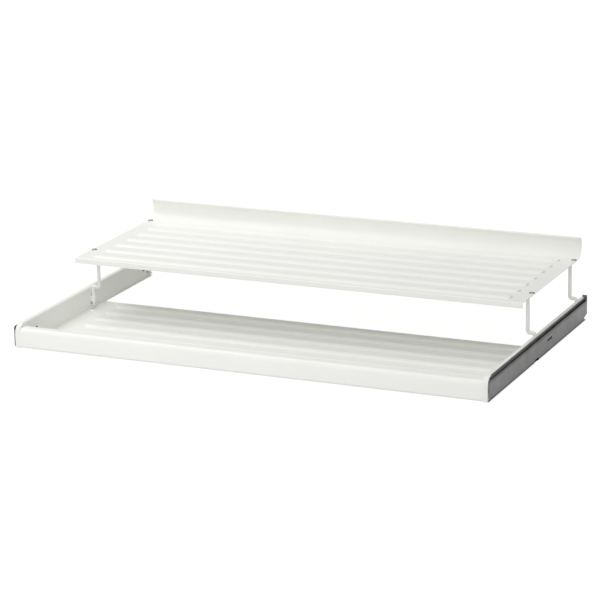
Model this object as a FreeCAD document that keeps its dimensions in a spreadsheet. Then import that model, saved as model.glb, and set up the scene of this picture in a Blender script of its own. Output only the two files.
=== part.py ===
import FreeCAD, Part
import math
import os
import Sketcher

# Pull-out shoe rack for a wardrobe: two ribbed steel shelves on a sliding frame.
#
# Rack coordinates, in millimetres: X to the right of the middle, Y back from the front rail's face,
# Z up from the underside of the slides. Every piece is drawn in them, and its Placement then carries
# it back by half the depth, so that the rack stands round the origin.

SIZES = {
    # the whole rack
    "overall_width": 963.0,        # outside the two slides
    "overall_depth": 564.0,        # front face to the back of the upper shelf's flange
    "floor_gap": 0.5,              # underside of the moving frame above the underside of the slides
    # ball-bearing slides
    "slide_height": 45.0,
    "slide_thickness": 12.7,
    "slide_setback": 3.0,          # front end of the cabinet member behind the front face
    "slide_rear_inset": 16.0,      # rear end of the slides in front of the shelf flange's back
    "slide_sheet": 1.6,
    "slide_corner": 6.0,
    "slide_nose": 9.0,             # rounding of the cabinet member's upper front corner
    "lip_reach": 9.8,              # how far the cabinet member's flanges reach in from its face
    "race_inset": 6.2,             # outer ball row from the slide's outer face
    "race_drop": 2.9,              # outer ball row from the slide's upper and lower edge
    "outer_ball": 4.0,
    "inner_inset": 9.0,
    "inner_drop": 7.39,
    "inner_ball": 3.5,
    "ball_clearance": 0.04,        # between a ball and its groove
    "race_depth": 0.74,            # how deep an outer groove is cut
    "inner_race_depth": 0.6,
    "cage_sheet": 0.9,
    "outer_cage_reach": 9.4,
    "inner_cage_reach": 11.0,
    "middle_setback": 1.7,         # flange edges of the middle member from the side rail's web
    "cage_length": 148.0,
    "cage_front": 276.0,           # front end of a ball cage with the rack closed
    "ball_pitch": 42.0,
    "member_gap": 0.4,             # between the members' webs and the cages
    "inner_front": 22.3,           # front end of the middle and tray members
    "inner_sheet": 1.4,            # web of the middle and tray members
    "cage_corner": 2.2,
    "window_play": 0.3,            # between a ball and its window in the cage
    "bumper_length": 7.0,
    "bumper_height": 16.0,
    "bumper_round": 1.5,
    "bumper_inset": 1.0,           # bumper's inner side from the side rail's web
    "tab_height": 5.9,             # end tab at the rear of the cabinet member, above the slide
    "tab_width": 9.5,
    # frame
    "rail_sheet": 1.0,
    "rail_flange": 7.2,            # top flange of a side rail over its slide
    "rail_foot": 4.0,              # bottom flange of a side rail on the lower shelf's edge
    "rail_rise": 0.4,              # top flange above the slide
    "rail_rear_inset": 2.0,        # rear end of a side rail in front of its slide's
    "front_height": 39.0,
    "front_depth": 24.0,
    "front_foot": 20.0,            # depth of the front rail's bottom flange
    "front_top_radius": 10.0,
    "front_bottom_radius": 6.0,
    "cap_radius": 19.0,
    "cap_wall": 1.6,
    "cap_toe_radius": 3.0,
    "cap_tongue_sheet": 2.0,       # tongue that grips the side rail's web from outside
    "cap_tongue_height": 6.0,
    "cap_tongue_setback": 5.0,     # end of the tongue inside the cap's rear rim
    "cap_width": 10.0,
    "seam": 0.3,                   # between pieces of the frame that stand side by side
    "close_seam": 0.1,             # between pieces that are drawn together
    "fold": 2.0,                   # inner radius of a fold
    "tight_fold": 0.5,
    # shelves
    "shelf_sheet": 1.0,
    "upper_level": 122.0,          # top of the upper shelf's sheet
    "upper_front": 222.0,
    "upper_inset": 17.0,           # side edges of the upper shelf in from the slides' outer faces
    "lip_height": 10.7,
    "flange_height": 41.0,
    "lip_bend": 2.0,
    "flange_radius": 23.0,
    "flange_bow": 11.0,            # height over which the flange leans forward at its top
    "flange_bow_radius": 25.0,
    "flange_lean": 5.0,
    "hem_diameter": 4.4,
    "rib_pitch": 45.4,
    "rib_width": 28.0,
    "rib_height": 3.0,
    "rib_end_radius": 2.8,         # rounding of a rib's steep end
    "rib_front": 27.5,             # first rib behind the upper shelf's front lip
    "rib_margin": 31.0,            # end of a rib from the shelf's side edge
    "lower_depth": 340.0,          # rear edge of the lower shelf
    "lower_front": 7.0,
    "joggle": 2.0,                 # length of the step down behind the front rail's flange
    "lower_rib_margin": 42.5,
    "lower_rib_front": 42.0,       # first rib of the lower shelf behind the front face
    # wire supports
    "wire_diameter": 7.0,
    "wire_bend": 4.5,
    "wire_play": 0.1,              # between a wire and its strap, or the web
    "wire_front": 290.0,
    "wire_rear_inset": 11.0,       # back wires in front of the side rails' rear ends
    "wire_jog": 45.5,              # height of the jog from the rail out to the leg
    "wire_tip": 0.4,               # how far the tip stands above the shelf
    "tip_hole_margin": 1.0,        # strip between a wire's hole and the shelf's side edge
    "tip_hole_shift": 0.9,         # hole's middle behind the wire's
    "bush_side": 1.8,              # room for the bush at the wire's left and right
    "bush_end": 1.7,               # room for the bush in front of and behind the wire, on average
    "bush_play": 0.05,             # round a bush in its hole, and round the wire in the bush
    "lower_hole_length": 12.0,
    "lower_hole_width": 8.0,
    "lower_hole_shift": 19.0,      # hole in the lower shelf, in front of the front wire
    "wire_foot": 10.0,             # level of the wire's lower end
    "strap_level": 16.0,           # lower edge of the strap that holds the lower leg
    "strap_height": 12.0,
    "tongue_width": 8.0,           # tongue of the side rail that the wire stands on
    "tongue_reach": 9.0,
    # fasteners
    "screw_diameter": 4.2,
    "screw_head": 8.0,
    "screw_front": 64.0,
    "screw_middle": 300.0,
    "screw_rear_inset": 32.0,      # rear screws in front of the side rails' rear ends
    "screw_head_height": 1.8,
    "screw_length": 3.2,
    "hole_play": 0.1,              # on the diameter, round a screw or a rivet
    "screw_hole": 4.4,             # in the side rail's web
    "slot_length": 26.0,
    "slot_width": 4.4,
    "slot_middle": 326.0,
    "slot_rise": 3.5,
    "notch_middle": 254.0,         # notch in the cabinet member's lower edge
    "notch_length": 24.0,
    "notch_height": 8.5,
    "notch_slope": 3.0,            # slant of a notch's sloping end
    "hook_length": 17.0,           # slot above the hook at the front of the cabinet member
    "hook_height": 4.6,
    "hook_gap": 4.0,               # between the hook's tip and the rest of the lower edge
    "lip_length": 16.0,            # lip left below the notch at the rear of the cabinet member
    "lip_gap": 9.0,
    "rivet_diameter": 4.0,
    "rivet_head": 7.6,
    "rivet_head_height": 1.4,
    "rivet_inset": 47.5,           # outermost rivets in from the front rail's ends
    "bracket_reach": 26.0,
    "bracket_sheet": 1.5,
    "bracket_bend": 1.0,
    "bracket_setback": 4.0,        # bracket's rear edge inside the front rail's
    "bracket_screw_diameter": 4.0,
    "bracket_screw_head": 7.0,
    "bracket_head_height": 1.4,
    "bracket_screw_length": 4.0,
}

SHELF_RIVETS = 5
BALLS_IN_ROW = 4
SIDES = {"left": -1, "right": 1}
EDGE_LEFT = 0.01         # straight edge, in millimetres, kept between two roundings
TOLERANCE = 0.001        # millimetres, or cubic millimetres
BEND_RATIO = 0.55        # inner to outer radius of the slide members' bends
STRAP_ROUNDING = 0.98    # share of the half round that a strap takes
SHOULDER = 1.1           # step from a wire's upper leg out to its tip, in wire diameters
SHOULDER_ROUNDING = 0.49 # share of that step that each of its two bends takes
DOME = 0.6               # share of a head's height that its edge is rounded over

document = FreeCAD.newDocument("pull_out_shoe_rack")
sheet = document.addObject("Spreadsheet::Sheet", "Sizes")
for row, (alias, millimetres) in enumerate(SIZES.items(), start=1):
    sheet.set(f"A{row}", alias)
    sheet.set(f"B{row}", str(millimetres))
    sheet.setAlias(f"B{row}", alias)
document.recompute()

# Levels and places that several pieces share, as expressions of the sizes.
HALF_WIDTH = "Sizes.overall_width / 2"
MID_HEIGHT = "Sizes.slide_height / 2"
SLIDE_REAR = "(Sizes.overall_depth - Sizes.slide_rear_inset)"
RAIL_REAR = f"({SLIDE_REAR} - Sizes.rail_rear_inset)"
MEMBER_REAR = f"({SLIDE_REAR} - Sizes.bumper_length - Sizes.seam)"
WEB_OUTSIDE = f"({HALF_WIDTH} - Sizes.slide_thickness)"
WEB_INSIDE = f"({WEB_OUTSIDE} - Sizes.rail_sheet)"
RAIL_TOP = "(Sizes.slide_height + Sizes.rail_rise + Sizes.rail_sheet)"
LOWER_TOP = "(Sizes.floor_gap + Sizes.shelf_sheet)"
UPPER_UNDERSIDE = "(Sizes.upper_level - Sizes.shelf_sheet)"
FRONT_WIDTH = f"(2 * {WEB_INSIDE} - 2 * Sizes.seam)"
CAP_INSIDE = f"({WEB_INSIDE} - Sizes.seam + Sizes.close_seam)"
CAP_OUTSIDE = f"({CAP_INSIDE} + Sizes.cap_width)"
WIRE_LOW_X = f"({WEB_INSIDE} - Sizes.wire_diameter / 2 - Sizes.wire_play)"
UPPER_WIDTH = f"(2 * ({HALF_WIDTH} - Sizes.upper_inset))"
TIP_HOLE_LENGTH = "(Sizes.wire_diameter + 2 * Sizes.bush_side)"
TIP_HOLE_WIDTH = "(Sizes.wire_diameter + 2 * Sizes.bush_end)"
WIRE_TIP_X = f"({UPPER_WIDTH} / 2 - Sizes.tip_hole_margin - {TIP_HOLE_LENGTH} / 2)"
WIRE_LEG_X = f"({WIRE_TIP_X} - {SHOULDER} * Sizes.wire_diameter)"
WIRE_BACK = f"({RAIL_REAR} - Sizes.wire_rear_inset)"
SCREW_PLACES = ["Sizes.screw_front", "Sizes.screw_middle", f"({RAIL_REAR} - Sizes.screw_rear_inset)"]
BRACKET_FACE = f"({WEB_INSIDE} - Sizes.close_seam - Sizes.bracket_sheet)"
BRACKET_SCREW_LINE = "(Sizes.front_depth / 2)"
BRACKET_LOW = "(Sizes.front_height * 0.2)"
BRACKET_HIGH = "(Sizes.front_height * 0.72)"
BRACKET_SCREW_LEVELS = [f"({BRACKET_LOW} + Sizes.bracket_screw_diameter)",
                        f"({BRACKET_HIGH} - Sizes.bracket_screw_diameter)"]
RIVET_LINE = "((Sizes.front_foot + Sizes.lower_front) / 2)"
RIVET_PITCH = f"(({FRONT_WIDTH} - 2 * Sizes.rivet_inset) / {SHELF_RIVETS - 1})"
RIB_ARC = "((Sizes.rib_width ^ 2 / 4 + Sizes.rib_height ^ 2) / (2 * Sizes.rib_height))"


def size_of(expression):
    """The number that an expression of the sizes gives."""
    result = document.getObject("Yardstick").evalExpression(str(expression))
    return float(getattr(result, "Value", result))


document.addObject("App::FeaturePython", "Yardstick")


def new_body(label):
    """An empty body in rack coordinates, carried back by half the depth."""
    body = document.addObject("PartDesign::Body", label)
    body.Label = label
    body.setExpression("Placement.Base.y", "-Sizes.overall_depth / 2")
    return body


def new_sketch(body, role, name, offset="0"):
    """A sketch on one of the body's origin planes, moved along the plane's normal by offset."""
    sketch = body.newObject("Sketcher::SketchObject", f"{body.Name}_{name}")
    plane = next(part for part in body.Origin.OriginFeatures if part.Role == role)
    sketch.AttachmentSupport = [(plane, "")]
    sketch.MapMode = "FlatFace"
    sketch.setExpression("AttachmentOffset.Base.z", offset)
    return sketch


def constrain(sketch, kind, places, expression):
    """Add a dimension and tie it to an expression."""
    index = sketch.addConstraint(Sketcher.Constraint(kind, *places, size_of(expression)))
    sketch.renameConstraint(index, f"size{index}")
    sketch.setExpression(f"Constraints.size{index}", str(expression))


def pin(sketch, geometry, position, across, up):
    """Hold a point of the sketch at (across, up) from the origin."""
    constrain(sketch, "DistanceX", (-1, 1, geometry, position), across)
    constrain(sketch, "DistanceY", (-1, 1, geometry, position), up)


def draw_path(sketch, corners, closed=True):
    """Straight edges through the corners (across, up, radius), each corner rounded by its radius or sharp."""
    count = len(corners)
    places = [FreeCAD.Vector(size_of(across), size_of(up), 0) for across, up, radius in corners]
    edge_ends = [[place, place] for place in places]
    middles = [None] * count
    for i, (across, up, radius) in enumerate(corners):
        if radius is None:
            continue
        towards_last = (places[i - 1] - places[i]).normalize()
        towards_next = (places[(i + 1) % count] - places[i]).normalize()
        half_angle = towards_last.getAngle(towards_next) / 2
        reach = size_of(radius) / math.tan(half_angle)
        edge_ends[i] = [places[i] + towards_last * reach, places[i] + towards_next * reach]
        bisector = (towards_last + towards_next).normalize()
        middles[i] = places[i] + bisector * (size_of(radius) / math.sin(half_angle) - size_of(radius))
    spans = range(count) if closed else range(count - 1)
    lines = {}
    for i in spans:
        segment = Part.LineSegment(edge_ends[i][1], edge_ends[(i + 1) % count][0])
        lines[i] = sketch.addGeometry(segment, False)
    for i, (across, up, radius) in enumerate(corners):
        before = lines.get((i - 1) % count if closed else i - 1)
        after = lines.get(i)
        if radius is None:
            if before is not None and after is not None:
                sketch.addConstraint(Sketcher.Constraint("Coincident", before, 2, after, 1))
            pin(sketch, before if after is None else after, 2 if after is None else 1, across, up)
            continue
        arc = sketch.addGeometry(Part.Arc(edge_ends[i][0], middles[i], edge_ends[i][1]), False)
        starts_here = (sketch.getPoint(arc, 1) - edge_ends[i][0]).Length < TOLERANCE
        first, last = (1, 2) if starts_here else (2, 1)
        corner = sketch.addGeometry(Part.Point(places[i]), True)
        sketch.addConstraint(Sketcher.Constraint("Tangent", before, 2, arc, first))
        sketch.addConstraint(Sketcher.Constraint("Tangent", arc, last, after, 1))
        sketch.addConstraint(Sketcher.Constraint("PointOnObject", corner, 1, before))
        sketch.addConstraint(Sketcher.Constraint("PointOnObject", corner, 1, after))
        pin(sketch, corner, 1, across, up)
        constrain(sketch, "Radius", (arc,), radius)


def draw_circle(sketch, across, up, diameter):
    """A circle held by its centre and diameter."""
    centre = FreeCAD.Vector(size_of(across), size_of(up), 0)
    circle = sketch.addGeometry(Part.Circle(centre, FreeCAD.Vector(0, 0, 1), size_of(diameter) / 2), False)
    pin(sketch, circle, 3, across, up)
    constrain(sketch, "Diameter", (circle,), diameter)


def draw_box(sketch, left, right, low, high):
    """A rectangle between two levels and two sides."""
    draw_path(sketch, [(left, low, None), (right, low, None), (right, high, None), (left, high, None)])


def draw_slot(sketch, across, up, length, width):
    """A slot with round ends, its long way across the sketch."""
    reach = f"({length}) / 2"
    rise = f"({width}) / 2"
    left, right = f"{across} - {reach}", f"{across} + {reach}"
    low, high = f"{up} - {rise}", f"{up} + {rise}"
    round_end = f"({width} - {EDGE_LEFT}) / 2"
    corners = [(left, low), (right, low), (right, high), (left, high)]
    draw_path(sketch, [(x, y, round_end) for x, y in corners])


def finish(body, feature):
    """Recompute, and stop if the feature is in error, empty or invalid."""
    document.recompute()
    shape = feature.Shape
    if "Invalid" in feature.State or "Error" in feature.State or shape.isNull() or not shape.isValid():
        raise RuntimeError(f"{feature.Label} of {body.Label} failed: {feature.State}")
    return feature


def pad(body, sketch, length, reverse=False, both_ways=False):
    """Pad a sketch along its normal, or against it, or half each way."""
    feature = body.newObject("PartDesign::Pad", f"{sketch.Name}_pad")
    feature.Profile = sketch
    feature.setExpression("Length", str(length))
    feature.SideType = "Symmetric" if both_ways else "One side"
    feature.Reversed = reverse
    return finish(body, feature)


def pocket(body, sketch, length, reverse=False, both_ways=False):
    """Cut a sketch along its normal's far side, or its near side, or half each way, and check that it cut."""
    before = body.Tip.Shape.Volume
    feature = body.newObject("PartDesign::Pocket", f"{sketch.Name}_pocket")
    feature.Profile = sketch
    feature.setExpression("Length", str(length))
    feature.SideType = "Symmetric" if both_ways else "One side"
    feature.Reversed = reverse
    finish(body, feature)
    if feature.Shape.Volume > before - TOLERANCE:
        raise RuntimeError(f"{feature.Label} removed nothing")
    return feature


def turn(body, sketch):
    """Revolve a sketch once round its construction line."""
    feature = body.newObject("PartDesign::Revolution", f"{sketch.Name}_turned")
    feature.Profile = sketch
    feature.ReferenceAxis = (sketch, ["Axis0"])
    feature.Angle = 360.0
    return finish(body, feature)


def repeat(body, originals, axis_role, pitch, count, reverse=False):
    """Repeat features along one of the body's axes."""
    pattern = body.newObject("PartDesign::LinearPattern", f"{body.Name}_{originals[0].Name}_row")
    pattern.Originals = originals
    axis = next(part for part in body.Origin.OriginFeatures if part.Role == axis_role)
    pattern.Direction = (axis, [""])
    pattern.Mode = "Spacing"
    pattern.Reversed = reverse
    pattern.setExpression("Offset", str(pitch))
    pattern.setExpression("Occurrences", str(count))
    body.Tip = pattern
    return finish(body, pattern)


def add_ribs(body, level, first, half_length, count):
    """Emboss a row of ribs with steep rounded ends: raised on top, hollow underneath by the same sheet."""
    crown = f"({level} + Sizes.rib_height)"
    centre = f"({crown} - {RIB_ARC})"
    thick = "Sizes.shelf_sheet"
    raised = new_sketch(body, "YZ_Plane", "rib")
    draw_segment(raised, first, level, centre, RIB_ARC)
    features = [pad(body, raised, f"2 * {half_length}", both_ways=True)]
    ends = new_sketch(body, "XZ_Plane", "rib_ends", f"-({first})")
    radius = "Sizes.rib_end_radius"
    above = f"{crown} + {radius} / 10"
    for side in SIDES.values():
        inside = f"{side} * ({half_length} - 2 * {radius})"
        outside = f"{side} * ({half_length} + {thick})"
        draw_path(ends, [
            (f"{side} * {half_length}", level, None),
            (f"{side} * {half_length}", above, radius),
            (inside, above, None),
            (inside, f"{above} + {thick}", None),
            (outside, f"{above} + {thick}", None),
            (outside, level, None),
        ])
    features.append(pocket(body, ends, "Sizes.rib_width + Sizes.rib_height", both_ways=True))
    hollow = new_sketch(body, "YZ_Plane", "rib_hollow")
    draw_segment(hollow, first, f"({level} - {thick})", centre, f"({RIB_ARC} - {thick})")
    features.append(pocket(body, hollow, f"2 * ({half_length} - 2 * {thick})", both_ways=True))
    repeat(body, features, "Y_Axis", "Sizes.rib_pitch", count)


def draw_segment(sketch, middle, base, centre, radius):
    """A flat base with an arc over it, about a centre below."""
    low = size_of(base)
    reach = math.sqrt(size_of(radius) ** 2 - (low - size_of(centre)) ** 2)
    top = FreeCAD.Vector(size_of(middle), size_of(centre) + size_of(radius), 0)
    start = FreeCAD.Vector(size_of(middle) - reach, low, 0)
    end = FreeCAD.Vector(size_of(middle) + reach, low, 0)
    chord = sketch.addGeometry(Part.LineSegment(start, end), False)
    arc = sketch.addGeometry(Part.Arc(end, top, start), False)
    sketch.addConstraint(Sketcher.Constraint("Coincident", chord, 2, arc, 1))
    sketch.addConstraint(Sketcher.Constraint("Coincident", arc, 2, chord, 1))
    sketch.addConstraint(Sketcher.Constraint("Horizontal", chord))
    pin(sketch, arc, 3, middle, centre)
    constrain(sketch, "Radius", (arc,), radius)
    constrain(sketch, "DistanceY", (-1, 1, chord, 1), base)


def make_upper_shelf():
    """Ribbed sheet with a front lip, a back flange that curves up and over, a rolled hem and four slots."""
    body = new_body("upper_shelf")
    thick = "Sizes.shelf_sheet"
    front, back, level = "Sizes.upper_front", "Sizes.overall_depth", "Sizes.upper_level"
    lip = f"{level} - Sizes.lip_height"
    top = f"{level} + Sizes.flange_height"
    bow = f"{top} - Sizes.flange_bow"
    lean = f"{back} - Sizes.flange_lean"
    section = new_sketch(body, "YZ_Plane", "section")
    draw_path(section, [
        (front, lip, None),
        (front, level, "Sizes.lip_bend"),
        (f"{back} - {thick}", level, f"Sizes.flange_radius - {thick}"),
        (f"{back} - {thick}", bow, "Sizes.flange_bow_radius"),
        (f"{lean} - {thick}", top, None),
        (lean, top, None),
        (back, bow, f"Sizes.flange_bow_radius + {thick}"),
        (back, UPPER_UNDERSIDE, "Sizes.flange_radius"),
        (f"{front} + {thick}", UPPER_UNDERSIDE, f"Sizes.lip_bend - {thick}"),
        (f"{front} + {thick}", lip, None),
    ])
    pad(body, section, UPPER_WIDTH, both_ways=True)
    hem = new_sketch(body, "YZ_Plane", "hem")
    hem_y, hem_z = f"{lean} - Sizes.hem_diameter / 2", f"{top} - Sizes.hem_diameter / 2"
    draw_circle(hem, hem_y, hem_z, "Sizes.hem_diameter")
    pad(body, hem, UPPER_WIDTH, both_ways=True)
    bore = new_sketch(body, "YZ_Plane", "hem_bore")
    draw_circle(bore, hem_y, hem_z, f"Sizes.hem_diameter - 2 * {thick}")
    pocket(body, bore, UPPER_WIDTH, both_ways=True)
    flat_end = f"({back} - Sizes.flange_radius)"
    count = f"floor(({flat_end} - {front} - Sizes.rib_front) / Sizes.rib_pitch) + 1"
    add_ribs(body, level, f"({front} + Sizes.rib_front)",
             f"({UPPER_WIDTH} / 2 - Sizes.rib_margin)", count)
    slots = new_sketch(body, "XY_Plane", "slots", UPPER_UNDERSIDE)
    for side in SIDES.values():
        for place in ("Sizes.wire_front", WIRE_BACK):
            draw_slot(slots, f"{side} * {WIRE_TIP_X}", f"{place} + Sizes.tip_hole_shift",
                      TIP_HOLE_LENGTH, TIP_HOLE_WIDTH)
    pocket(body, slots, f"2 * {thick}", reverse=True)
    return body


def make_lower_shelf():
    """Ribbed sheet under the side rails' flanges, with a front edge that steps up onto the front rail's."""
    body = new_body("lower_shelf")
    thick, front, rear = "Sizes.shelf_sheet", "Sizes.lower_front", "Sizes.lower_depth"
    low, step = "Sizes.floor_gap", "Sizes.rail_sheet"
    step_start = "(Sizes.front_foot + Sizes.seam)"
    step_end = f"({step_start} + Sizes.joggle)"
    section = new_sketch(body, "YZ_Plane", "section")
    draw_path(section, [
        (front, f"{low} + {step}", None),
        (step_start, f"{low} + {step}", None),
        (step_end, low, None),
        (rear, low, None),
        (rear, LOWER_TOP, None),
        (step_end, LOWER_TOP, None),
        (step_start, f"{LOWER_TOP} + {step}", None),
        (front, f"{LOWER_TOP} + {step}", None),
    ])
    pad(body, section, FRONT_WIDTH, both_ways=True)
    count = f"floor(({rear} - Sizes.lower_rib_front - Sizes.rib_width / 2) / Sizes.rib_pitch) + 1"
    add_ribs(body, LOWER_TOP, "Sizes.lower_rib_front", f"({FRONT_WIDTH} / 2 - Sizes.lower_rib_margin)", count)
    slots = new_sketch(body, "XY_Plane", "slots", low)
    for side in SIDES.values():
        draw_slot(slots, f"{side} * {WIRE_TIP_X}", "Sizes.wire_front - Sizes.lower_hole_shift",
                  "Sizes.lower_hole_length", "Sizes.lower_hole_width")
    pocket(body, slots, f"2 * {thick}", reverse=True)
    holes = new_sketch(body, "XY_Plane", "rivet_holes", f"{low} + {step}")
    for i in range(SHELF_RIVETS):
        draw_circle(holes, rivet_place(i), RIVET_LINE, "Sizes.rivet_diameter + Sizes.hole_play")
    pocket(body, holes, f"2 * {thick}", reverse=True)
    return body


def rivet_place(i):
    """Where rivet number i stands across the rack."""
    return f"{i - (SHELF_RIVETS - 1) / 2} * {RIVET_PITCH}"


def make_front_rail():
    """Roll-formed bullnose channel, open at the back, with a stiffening return behind its top."""
    body = new_body("front_rail")
    thick, low, high = "Sizes.rail_sheet", "Sizes.floor_gap", "Sizes.front_height"
    depth, fold = "Sizes.front_depth", "Sizes.fold"
    drop = f"{high} - {depth} / 2"
    section = new_sketch(body, "YZ_Plane", "section")
    draw_path(section, [
        ("Sizes.front_foot", low, None),
        ("0", low, "Sizes.front_bottom_radius"),
        ("0", high, "Sizes.front_top_radius"),
        (depth, high, f"{fold} + {thick}"),
        (depth, drop, None),
        (f"{depth} - {thick}", drop, None),
        (f"{depth} - {thick}", f"{high} - {thick}", fold),
        (thick, f"{high} - {thick}", f"Sizes.front_top_radius - {thick}"),
        (thick, f"{low} + {thick}", f"Sizes.front_bottom_radius - {thick}"),
        ("Sizes.front_foot", f"{low} + {thick}", None),
    ])
    pad(body, section, FRONT_WIDTH, both_ways=True)
    holes = new_sketch(body, "XY_Plane", "rivet_holes", "Sizes.floor_gap")
    for i in range(SHELF_RIVETS):
        draw_circle(holes, rivet_place(i), RIVET_LINE, "Sizes.rivet_diameter + Sizes.hole_play")
    pocket(body, holes, f"2 * {thick}", reverse=True)
    return body


def make_side_rail(name, side):
    """Folded rail: web, flange over the slide, foot on the lower shelf, holes and wire holders."""
    body = new_body(f"side_rail_{name}")
    thick, low, top = "Sizes.rail_sheet", LOWER_TOP, RAIL_TOP
    fold, tight_fold = "Sizes.fold", "Sizes.tight_fold"
    front = "(Sizes.cap_wall + Sizes.seam)"
    inner, outer = f"{side} * {WEB_INSIDE}", f"{side} * {WEB_OUTSIDE}"
    flange = f"{side} * ({WEB_OUTSIDE} + Sizes.rail_flange)"
    foot = f"{side} * ({WEB_INSIDE} - Sizes.rail_foot)"
    section = new_sketch(body, "XZ_Plane", "section", f"-{front}")
    draw_path(section, [
        (flange, top, None),
        (inner, top, f"{fold} + {thick}"),
        (inner, f"{low} + {thick}", tight_fold),
        (foot, f"{low} + {thick}", None),
        (foot, low, None),
        (outer, low, f"{tight_fold} + {thick}"),
        (outer, f"{top} - {thick}", fold),
        (flange, f"{top} - {thick}", None),
    ])
    pad(body, section, f"{RAIL_REAR} - {front}", reverse=True)
    nose = new_sketch(body, "YZ_Plane", "nose", inner)
    behind_cap = "(Sizes.cap_radius + Sizes.seam)"
    draw_path(nose, [
        (f"0 - {thick}", f"{top} - {behind_cap}", None),
        (front, f"{top} - {behind_cap}", None),
        (front, f"{top} - {front}", f"Sizes.cap_radius - {front}"),
        (behind_cap, f"{top} - {front}", None),
        (behind_cap, f"{top} + {thick}", None),
        (f"0 - {thick}", f"{top} + {thick}", None),
    ])
    pocket(body, nose, "4 * Sizes.rail_flange", both_ways=True)
    foot_room = new_sketch(body, "XY_Plane", "foot_room", low)
    edges = sorted([foot, inner], key=size_of)
    draw_box(foot_room, edges[0], edges[1], "0", "Sizes.front_foot + Sizes.joggle + 2 * Sizes.seam")
    pocket(body, foot_room, f"2 * {thick}", reverse=True)
    holes = new_sketch(body, "YZ_Plane", "holes", inner)
    for place in SCREW_PLACES:
        draw_circle(holes, place, MID_HEIGHT, "Sizes.screw_hole")
    for level in BRACKET_SCREW_LEVELS:
        draw_circle(holes, BRACKET_SCREW_LINE, level, "Sizes.bracket_screw_diameter + Sizes.hole_play")
    pocket(body, holes, f"4 * {thick}", both_ways=True)
    add_wire_holder(body, side, "front", "Sizes.wire_front")
    add_wire_holder(body, side, "back", WIRE_BACK)
    return body


def add_wire_holder(body, side, name, place):
    """Lance the web for one wire: a strap bowed round its lower leg, and a tongue that it stands on."""
    thick = "Sizes.rail_sheet"
    inner_round = "(Sizes.wire_diameter / 2 + Sizes.wire_play)"
    outer_round = f"({inner_round} + {thick})"
    inner_bend, outer_bend = f"{STRAP_ROUNDING} * {inner_round}", f"{STRAP_ROUNDING} * {outer_round}"
    root = f"{side} * {WEB_INSIDE}"
    crest_in = f"{side} * ({WIRE_LOW_X} - {inner_round})"
    crest_out = f"{side} * ({WIRE_LOW_X} - {outer_round})"
    strap = new_sketch(body, "XY_Plane", f"strap_{name}", "Sizes.strap_level")
    draw_path(strap, [
        (root, f"{place} - {outer_round}", None),
        (crest_out, f"{place} - {outer_round}", outer_bend),
        (crest_out, f"{place} + {outer_round}", outer_bend),
        (root, f"{place} + {outer_round}", None),
        (root, f"{place} + {inner_round}", None),
        (crest_in, f"{place} + {inner_round}", inner_bend),
        (crest_in, f"{place} - {inner_round}", inner_bend),
        (root, f"{place} - {inner_round}", None),
    ])
    pad(body, strap, "Sizes.strap_height")
    tongue_top = "(Sizes.wire_foot - Sizes.wire_play)"
    half_tongue = "Sizes.tongue_width / 2"
    tip = f"{side} * ({WEB_INSIDE} - Sizes.tongue_reach)"
    tongue = new_sketch(body, "XY_Plane", f"tongue_{name}", f"{tongue_top} - {thick}")
    draw_path(tongue, [
        (f"{side} * ({WEB_INSIDE} + {thick} / 2)", f"{place} - {half_tongue}", None),
        (tip, f"{place} - {half_tongue}", "Sizes.tongue_width / 4"),
        (tip, f"{place} + {half_tongue}", "Sizes.tongue_width / 4"),
        (f"{side} * ({WEB_INSIDE} + {thick} / 2)", f"{place} + {half_tongue}", None),
    ])
    pad(body, tongue, thick)
    windows = new_sketch(body, "YZ_Plane", f"windows_{name}", root)
    draw_box(windows, f"{place} - {inner_round}", f"{place} + {inner_round}",
             "Sizes.strap_level", "Sizes.strap_level + Sizes.strap_height")
    draw_box(windows, f"{place} - {half_tongue}", f"{place} + {half_tongue}",
             tongue_top, f"Sizes.strap_level - 2 * {thick}")
    pocket(body, windows, f"4 * {thick}", both_ways=True)


def make_end_cap(name, side):
    """Moulded cap over the front end of a side rail: a bullnose shell, open towards the back."""
    body = new_body(f"end_cap_{name}")
    low, top, wall = "Sizes.floor_gap", RAIL_TOP, "Sizes.cap_wall"
    rear = "Sizes.cap_radius"
    outline = new_sketch(body, "YZ_Plane", "outline", f"{side} * {CAP_INSIDE}")
    draw_path(outline, [
        ("0", low, "Sizes.cap_toe_radius"),
        ("0", top, f"{rear} - {EDGE_LEFT}"),
        (rear, top, None),
        (rear, low, None),
    ])
    pad(body, outline, "Sizes.cap_width", reverse=side < 0)
    hollow = new_sketch(body, "YZ_Plane", "hollow", f"{side} * {CAP_INSIDE}")
    draw_path(hollow, [
        (wall, f"{low} - {wall}", None),
        (wall, f"{top} - {wall}", f"{rear} - {wall} - {EDGE_LEFT}"),
        (f"{rear} + {wall}", f"{top} - {wall}", None),
        (f"{rear} + {wall}", f"{low} - {wall}", None),
    ])
    pocket(body, hollow, f"Sizes.cap_width - {wall}", reverse=side > 0)
    beside_web = f"{side} * ({WEB_OUTSIDE} + Sizes.close_seam)"
    sole = new_sketch(body, "YZ_Plane", "sole", beside_web)
    draw_box(sole, f"{wall} / 2", rear, low, f"{low} + {wall}")
    pad(body, sole, "Sizes.cap_width / 2", reverse=side < 0)
    tongue_low = f"{top} - Sizes.cap_radius + Sizes.cap_tongue_sheet"
    tongue = new_sketch(body, "YZ_Plane", "tongue", beside_web)
    draw_box(tongue, f"{wall} / 2", f"{rear} - Sizes.cap_tongue_setback", tongue_low,
             f"{tongue_low} + Sizes.cap_tongue_height")
    pad(body, tongue, "Sizes.cap_tongue_sheet", reverse=side < 0)
    return body


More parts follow.
